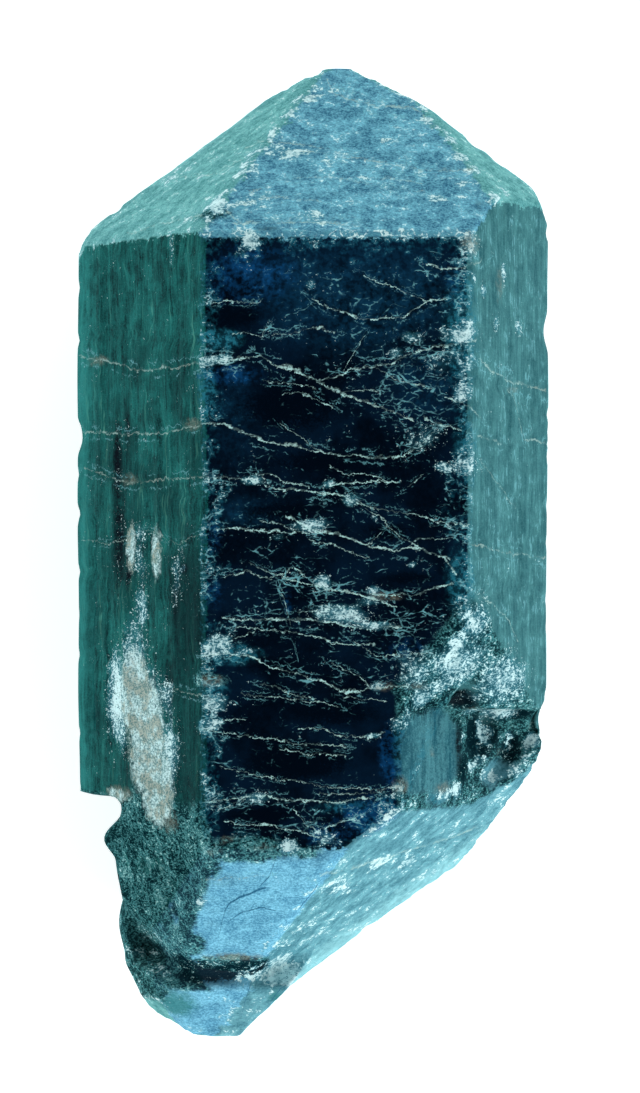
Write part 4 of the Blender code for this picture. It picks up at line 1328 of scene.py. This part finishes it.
def crystal_finish(colours):
    """The whole crystal's material: the colours of its faces under each kind of mark."""
    finish = Finish("apatite")
    place = Place(finish)
    marks = Marks(place)
    colour = end_colours(place, colours, prism_colours(place, colours))
    for laid_over in (stained, frosted, crusted, cracked):
        colour = laid_over(place, marks, colours, colour)

    frost, calcite, rubble = marks.frost, marks.calcite, marks.rubble
    roughness = (
        POLISH + frost * 0.3 + calcite * 0.5 + rubble * 0.3 + (1.0 - marks.front) * 0.12)
    coat = (1.0 - frost) * (1.0 - calcite) * (1.0 - rubble) * COAT
    relief_height = place.grain * place.field("rough").scaled(0.09, 0.012) + place.hair * 0.03
    bump = {"Strength": 1.0, "Distance": MM, "Height": relief_height}
    finish.set(
        Base_Color=colour, Roughness=roughness.clamped(), Coat_Weight=coat.clamped(),
        Normal=finish.add("ShaderNodeBump", {}, bump),
        IOR=1.5, Specular_IOR_Level=0.0, Coat_Roughness=0.1, Coat_IOR=1.5)
    return finish.material


def colour_property(name, description, *on_screen):
    """A colour that a user can change, given by its red, green and blue on a screen."""
    return FloatVectorProperty(
        name=name, description=description, subtype="COLOR", size=4, min=0.0, max=1.0,
        default=tone(*on_screen))


class ApatiteColours(PropertyGroup):
    # the deepest body colour, also used for the painted shadows
    black: colour_property("Black", "Deepest body colour", 1, 8, 19)
    navy: colour_property("Navy", "Front face", 5, 26, 46)
    ink_blue: colour_property("Ink blue", "Clouds in the front face", 13, 54, 80)
    blue: colour_property("Blue", "Saturated stains", 14, 70, 118)
    teal: colour_property("Teal", "Translucent stains", 36, 114, 134)
    deep_green: colour_property("Deep green", "Striae of the left faces", 0, 22, 29)
    green: colour_property("Green", "Left faces", 36, 122, 118)
    light_green: colour_property("Light green", "Bright striae", 74, 142, 128)
    # painted glow of light through the thin left edge
    rim_glow_green: colour_property("Rim green", "Thin left edge", 44, 130, 128)
    deep_teal: colour_property("Deep teal", "Striae of the right faces", 34, 84, 92)
    # the right faces' colour, with a painted sheen in it
    grey_teal: colour_property("Grey teal", "Right faces", 78, 138, 142)
    deep_steel: colour_property("Deep steel", "Pits of the front pyramid face", 36, 94, 124)
    # the front pyramid face's colour, with a painted sheen of the sky in it
    steel: colour_property("Steel", "Front pyramid face", 124, 200, 220)
    deep_moss: colour_property("Deep moss", "Pits of the side pyramid faces", 58, 126, 130)
    # the side pyramid faces' colour, with a painted sheen of the sky in it
    moss: colour_property("Moss", "Side pyramid faces", 124, 194, 194)
    deep_pale: colour_property("Deep pale", "Pits of the pale facet", 64, 128, 160)
    pale: colour_property("Pale", "Pale facet at the broken end", 128, 200, 226)
    deep_mint: colour_property("Deep mint", "Pits of the lower right face", 52, 108, 124)
    mint: colour_property("Mint", "Lower right face", 114, 178, 190)
    # painted glow of light through the thin lower right edge
    rim_glow_cyan: colour_property("Rim cyan", "Thin lower right edge", 146, 208, 216)
    deep_rubble: colour_property("Deep rubble", "Dark grains of broken ground", 4, 30, 38)
    # painted glow of light through the thin edges at the broken end
    jade: colour_property("Jade", "Green of the thin edges at the broken end", 44, 116, 116)
    deep_pane: colour_property("Deep pane", "Striae of the notch's smooth face", 30, 82, 96)
    pane: colour_property("Pane", "The notch's smooth face", 72, 132, 142)
    rubble: colour_property("Rubble", "Light grains of broken ground", 64, 128, 132)
    pale_rubble: colour_property("Pale rubble", "Brightest grains of rubble", 148, 200, 200)
    cyan_frost: colour_property("Cyan frost", "Dim frost", 60, 134, 152)
    white_frost: colour_property("White frost", "Bright frost", 206, 240, 242)
    crack: colour_property("Crack", "Pale crack lines", 176, 224, 222)
    web: colour_property("Web", "Fine cracks", 104, 168, 178)
    ochre: colour_property("Ochre", "Stained cracks", 120, 124, 112)
    calcite: colour_property("Calcite", "Calcite crust", 202, 238, 240)
    calcite_beige: colour_property("Calcite beige", "Stained calcite", 162, 174, 162)
    calcite_shade: colour_property("Calcite shade", "Shaded calcite grains", 72, 126, 130)


class ApatiteShape(PropertyGroup):
    grid: FloatProperty(
        name="Grid", description="Spacing of the surface mesh", default=0.28 * MM,
        min=0.1 * MM, unit="LENGTH", subtype="DISTANCE")
    edge_wear: IntProperty(
        name="Edge wear", description="Smoothing steps that round the edges", default=4, min=0)


class ApatiteStage(PropertyGroup):
    floor_width: FloatProperty(
        name="Floor width", description="Width of the floor", default=4.0, unit="LENGTH",
        subtype="DISTANCE")
    floor_colour: colour_property("Floor", "Floor colour", 246, 250, 250)
    floor_glow: FloatProperty(
        name="Floor glow", description="Light that the floor itself gives", default=0.6, min=0.0)
    sky: FloatProperty(
        name="Sky", description="Brightness of the soft light all round", default=1.5, min=0.0)
    sky_top: FloatProperty(
        name="Sky top", description="Brightness straight above", default=0.06, min=0.0)
    key: FloatProperty(
        name="Key", description="Power of the key light", default=0.35, min=0.0, unit="POWER")


class APATITE_OT_crystal(Operator):
    """Model the crystal around its solid and give it its finish"""
    bl_idname = "apatite.crystal"
    bl_label = "Crystal"

    def execute(self, context):
        shape = context.scene.apatite_shape
        mesh = rough_crystal(shape.grid / MM, shape.edge_wear)
        if not mesh.verts:
            raise RuntimeError("the crystal's solids gave no mesh")
        carve_relief(mesh)
        wear_flat(mesh)
        mesh.transform(Matrix.Scale(MM, 4))
        crystal = link_mesh("apatite_crystal", mesh)
        crystal.data.shade_smooth()
        add_fields(crystal)
        crystal.data.materials.append(crystal_finish(context.scene.apatite_colours))
        set_in_frame(crystal)
        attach(crystal, "root")
        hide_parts(NODE)
        return {"FINISHED"}


def add_floor(stage):
    """A pale floor that glows softly, so that hardly any shadow falls on it."""
    mesh = bmesh.new()
    bmesh.ops.create_grid(
        mesh, x_segments=FLOOR_SQUARES, y_segments=FLOOR_SQUARES, size=stage.floor_width / 2)
    floor = link_mesh("floor", mesh)
    finish = Finish("floor")
    finish.set(
        Base_Color=tuple(stage.floor_colour), Roughness=0.9, Specular_IOR_Level=0.1,
        Emission_Color=tuple(stage.floor_colour), Emission_Strength=stage.floor_glow)
    floor.data.materials.append(finish.material)


def add_sky(stage):
    """Soft light from all round, dark straight above where the camera is."""
    world = bpy.data.worlds.new("studio")
    world.use_nodes = True
    bpy.context.scene.world = world
    sky = Nodes(world.node_tree)
    direction = sky.add("ShaderNodeTexCoord", {}, {}, output="Generated")
    height = sky.add("ShaderNodeSeparateXYZ", {}, {0: direction}).beside("Z")
    background = sky.tree.nodes["Background"]
    sky.feed(background.inputs["Strength"], height.rise(*SKY_FADE, stage.sky, stage.sky_top))
    sky.feed(background.inputs["Color"], tone(255, 255, 255))


def add_key_light(target, power):
    """A soft round light from the lower right, turned to its target."""
    data = bpy.data.lights.new("key", "AREA")
    data.shape = "DISK"
    data.size = KEY_LIGHT_WIDTH
    data.energy = power
    light = bpy.data.objects.new("key", data)
    light.location = KEY_LIGHT_PLACE
    light.rotation_euler = (target - light.location).to_track_quat("-Z", "Y").to_euler()
    bpy.context.scene.collection.objects.link(light)


def add_camera(target):
    """A camera that looks straight down on the crystal."""
    data = bpy.data.cameras.new("camera")
    data.lens = CAMERA_LENS
    data.sensor_width = CAMERA_SENSOR
    data.clip_start = CAMERA_CLIP_START
    camera = bpy.data.objects.new("camera", data)
    offset_x, offset_y = CAMERA_OFFSET
    camera.location = (target.x + offset_x * MM, target.y + offset_y * MM, CAMERA_HEIGHT * MM)
    bpy.context.scene.collection.objects.link(camera)
    bpy.context.scene.camera = camera


class APATITE_OT_stage(Operator):
    """Make the floor, the light and the camera"""
    bl_idname = "apatite.stage"
    bl_label = "Stage"

    def execute(self, context):
        stage = context.scene.apatite_stage
        centre = middle(CAD_BOX)
        context.scene.view_settings.view_transform = "Standard"
        add_floor(stage)
        add_sky(stage)
        add_key_light(centre, stage.key)
        add_camera(centre)
        return {"FINISHED"}


class APATITE_PT_panel(Panel):
    bl_label = "Apatite"
    bl_idname = "APATITE_PT_panel"
    bl_space_type = "VIEW_3D"
    bl_region_type = "UI"
    bl_category = "Apatite"

    def draw(self, context):
        scene = context.scene
        for operator, groups in (
                (APATITE_OT_crystal, (scene.apatite_shape, scene.apatite_colours)),
                (APATITE_OT_stage, (scene.apatite_stage,))):
            self.layout.operator(operator.bl_idname)
            for group in groups:
                for name in type(group).__annotations__:
                    self.layout.prop(group, name)


CLASSES = (
    ApatiteColours, ApatiteShape, ApatiteStage, APATITE_OT_crystal, APATITE_OT_stage,
    APATITE_PT_panel)


def register():
    for cls in CLASSES:
        bpy.utils.register_class(cls)
    bpy.types.Scene.apatite_colours = PointerProperty(type=ApatiteColours)
    bpy.types.Scene.apatite_shape = PointerProperty(type=ApatiteShape)
    bpy.types.Scene.apatite_stage = PointerProperty(type=ApatiteStage)


def unregister():
    del bpy.types.Scene.apatite_stage
    del bpy.types.Scene.apatite_shape
    del bpy.types.Scene.apatite_colours
    for cls in reversed(CLASSES):
        bpy.utils.unregister_class(cls)


def main():
    register()
    bpy.ops.apatite.crystal()
    bpy.ops.apatite.stage()


if __name__ == "__main__":
    main()
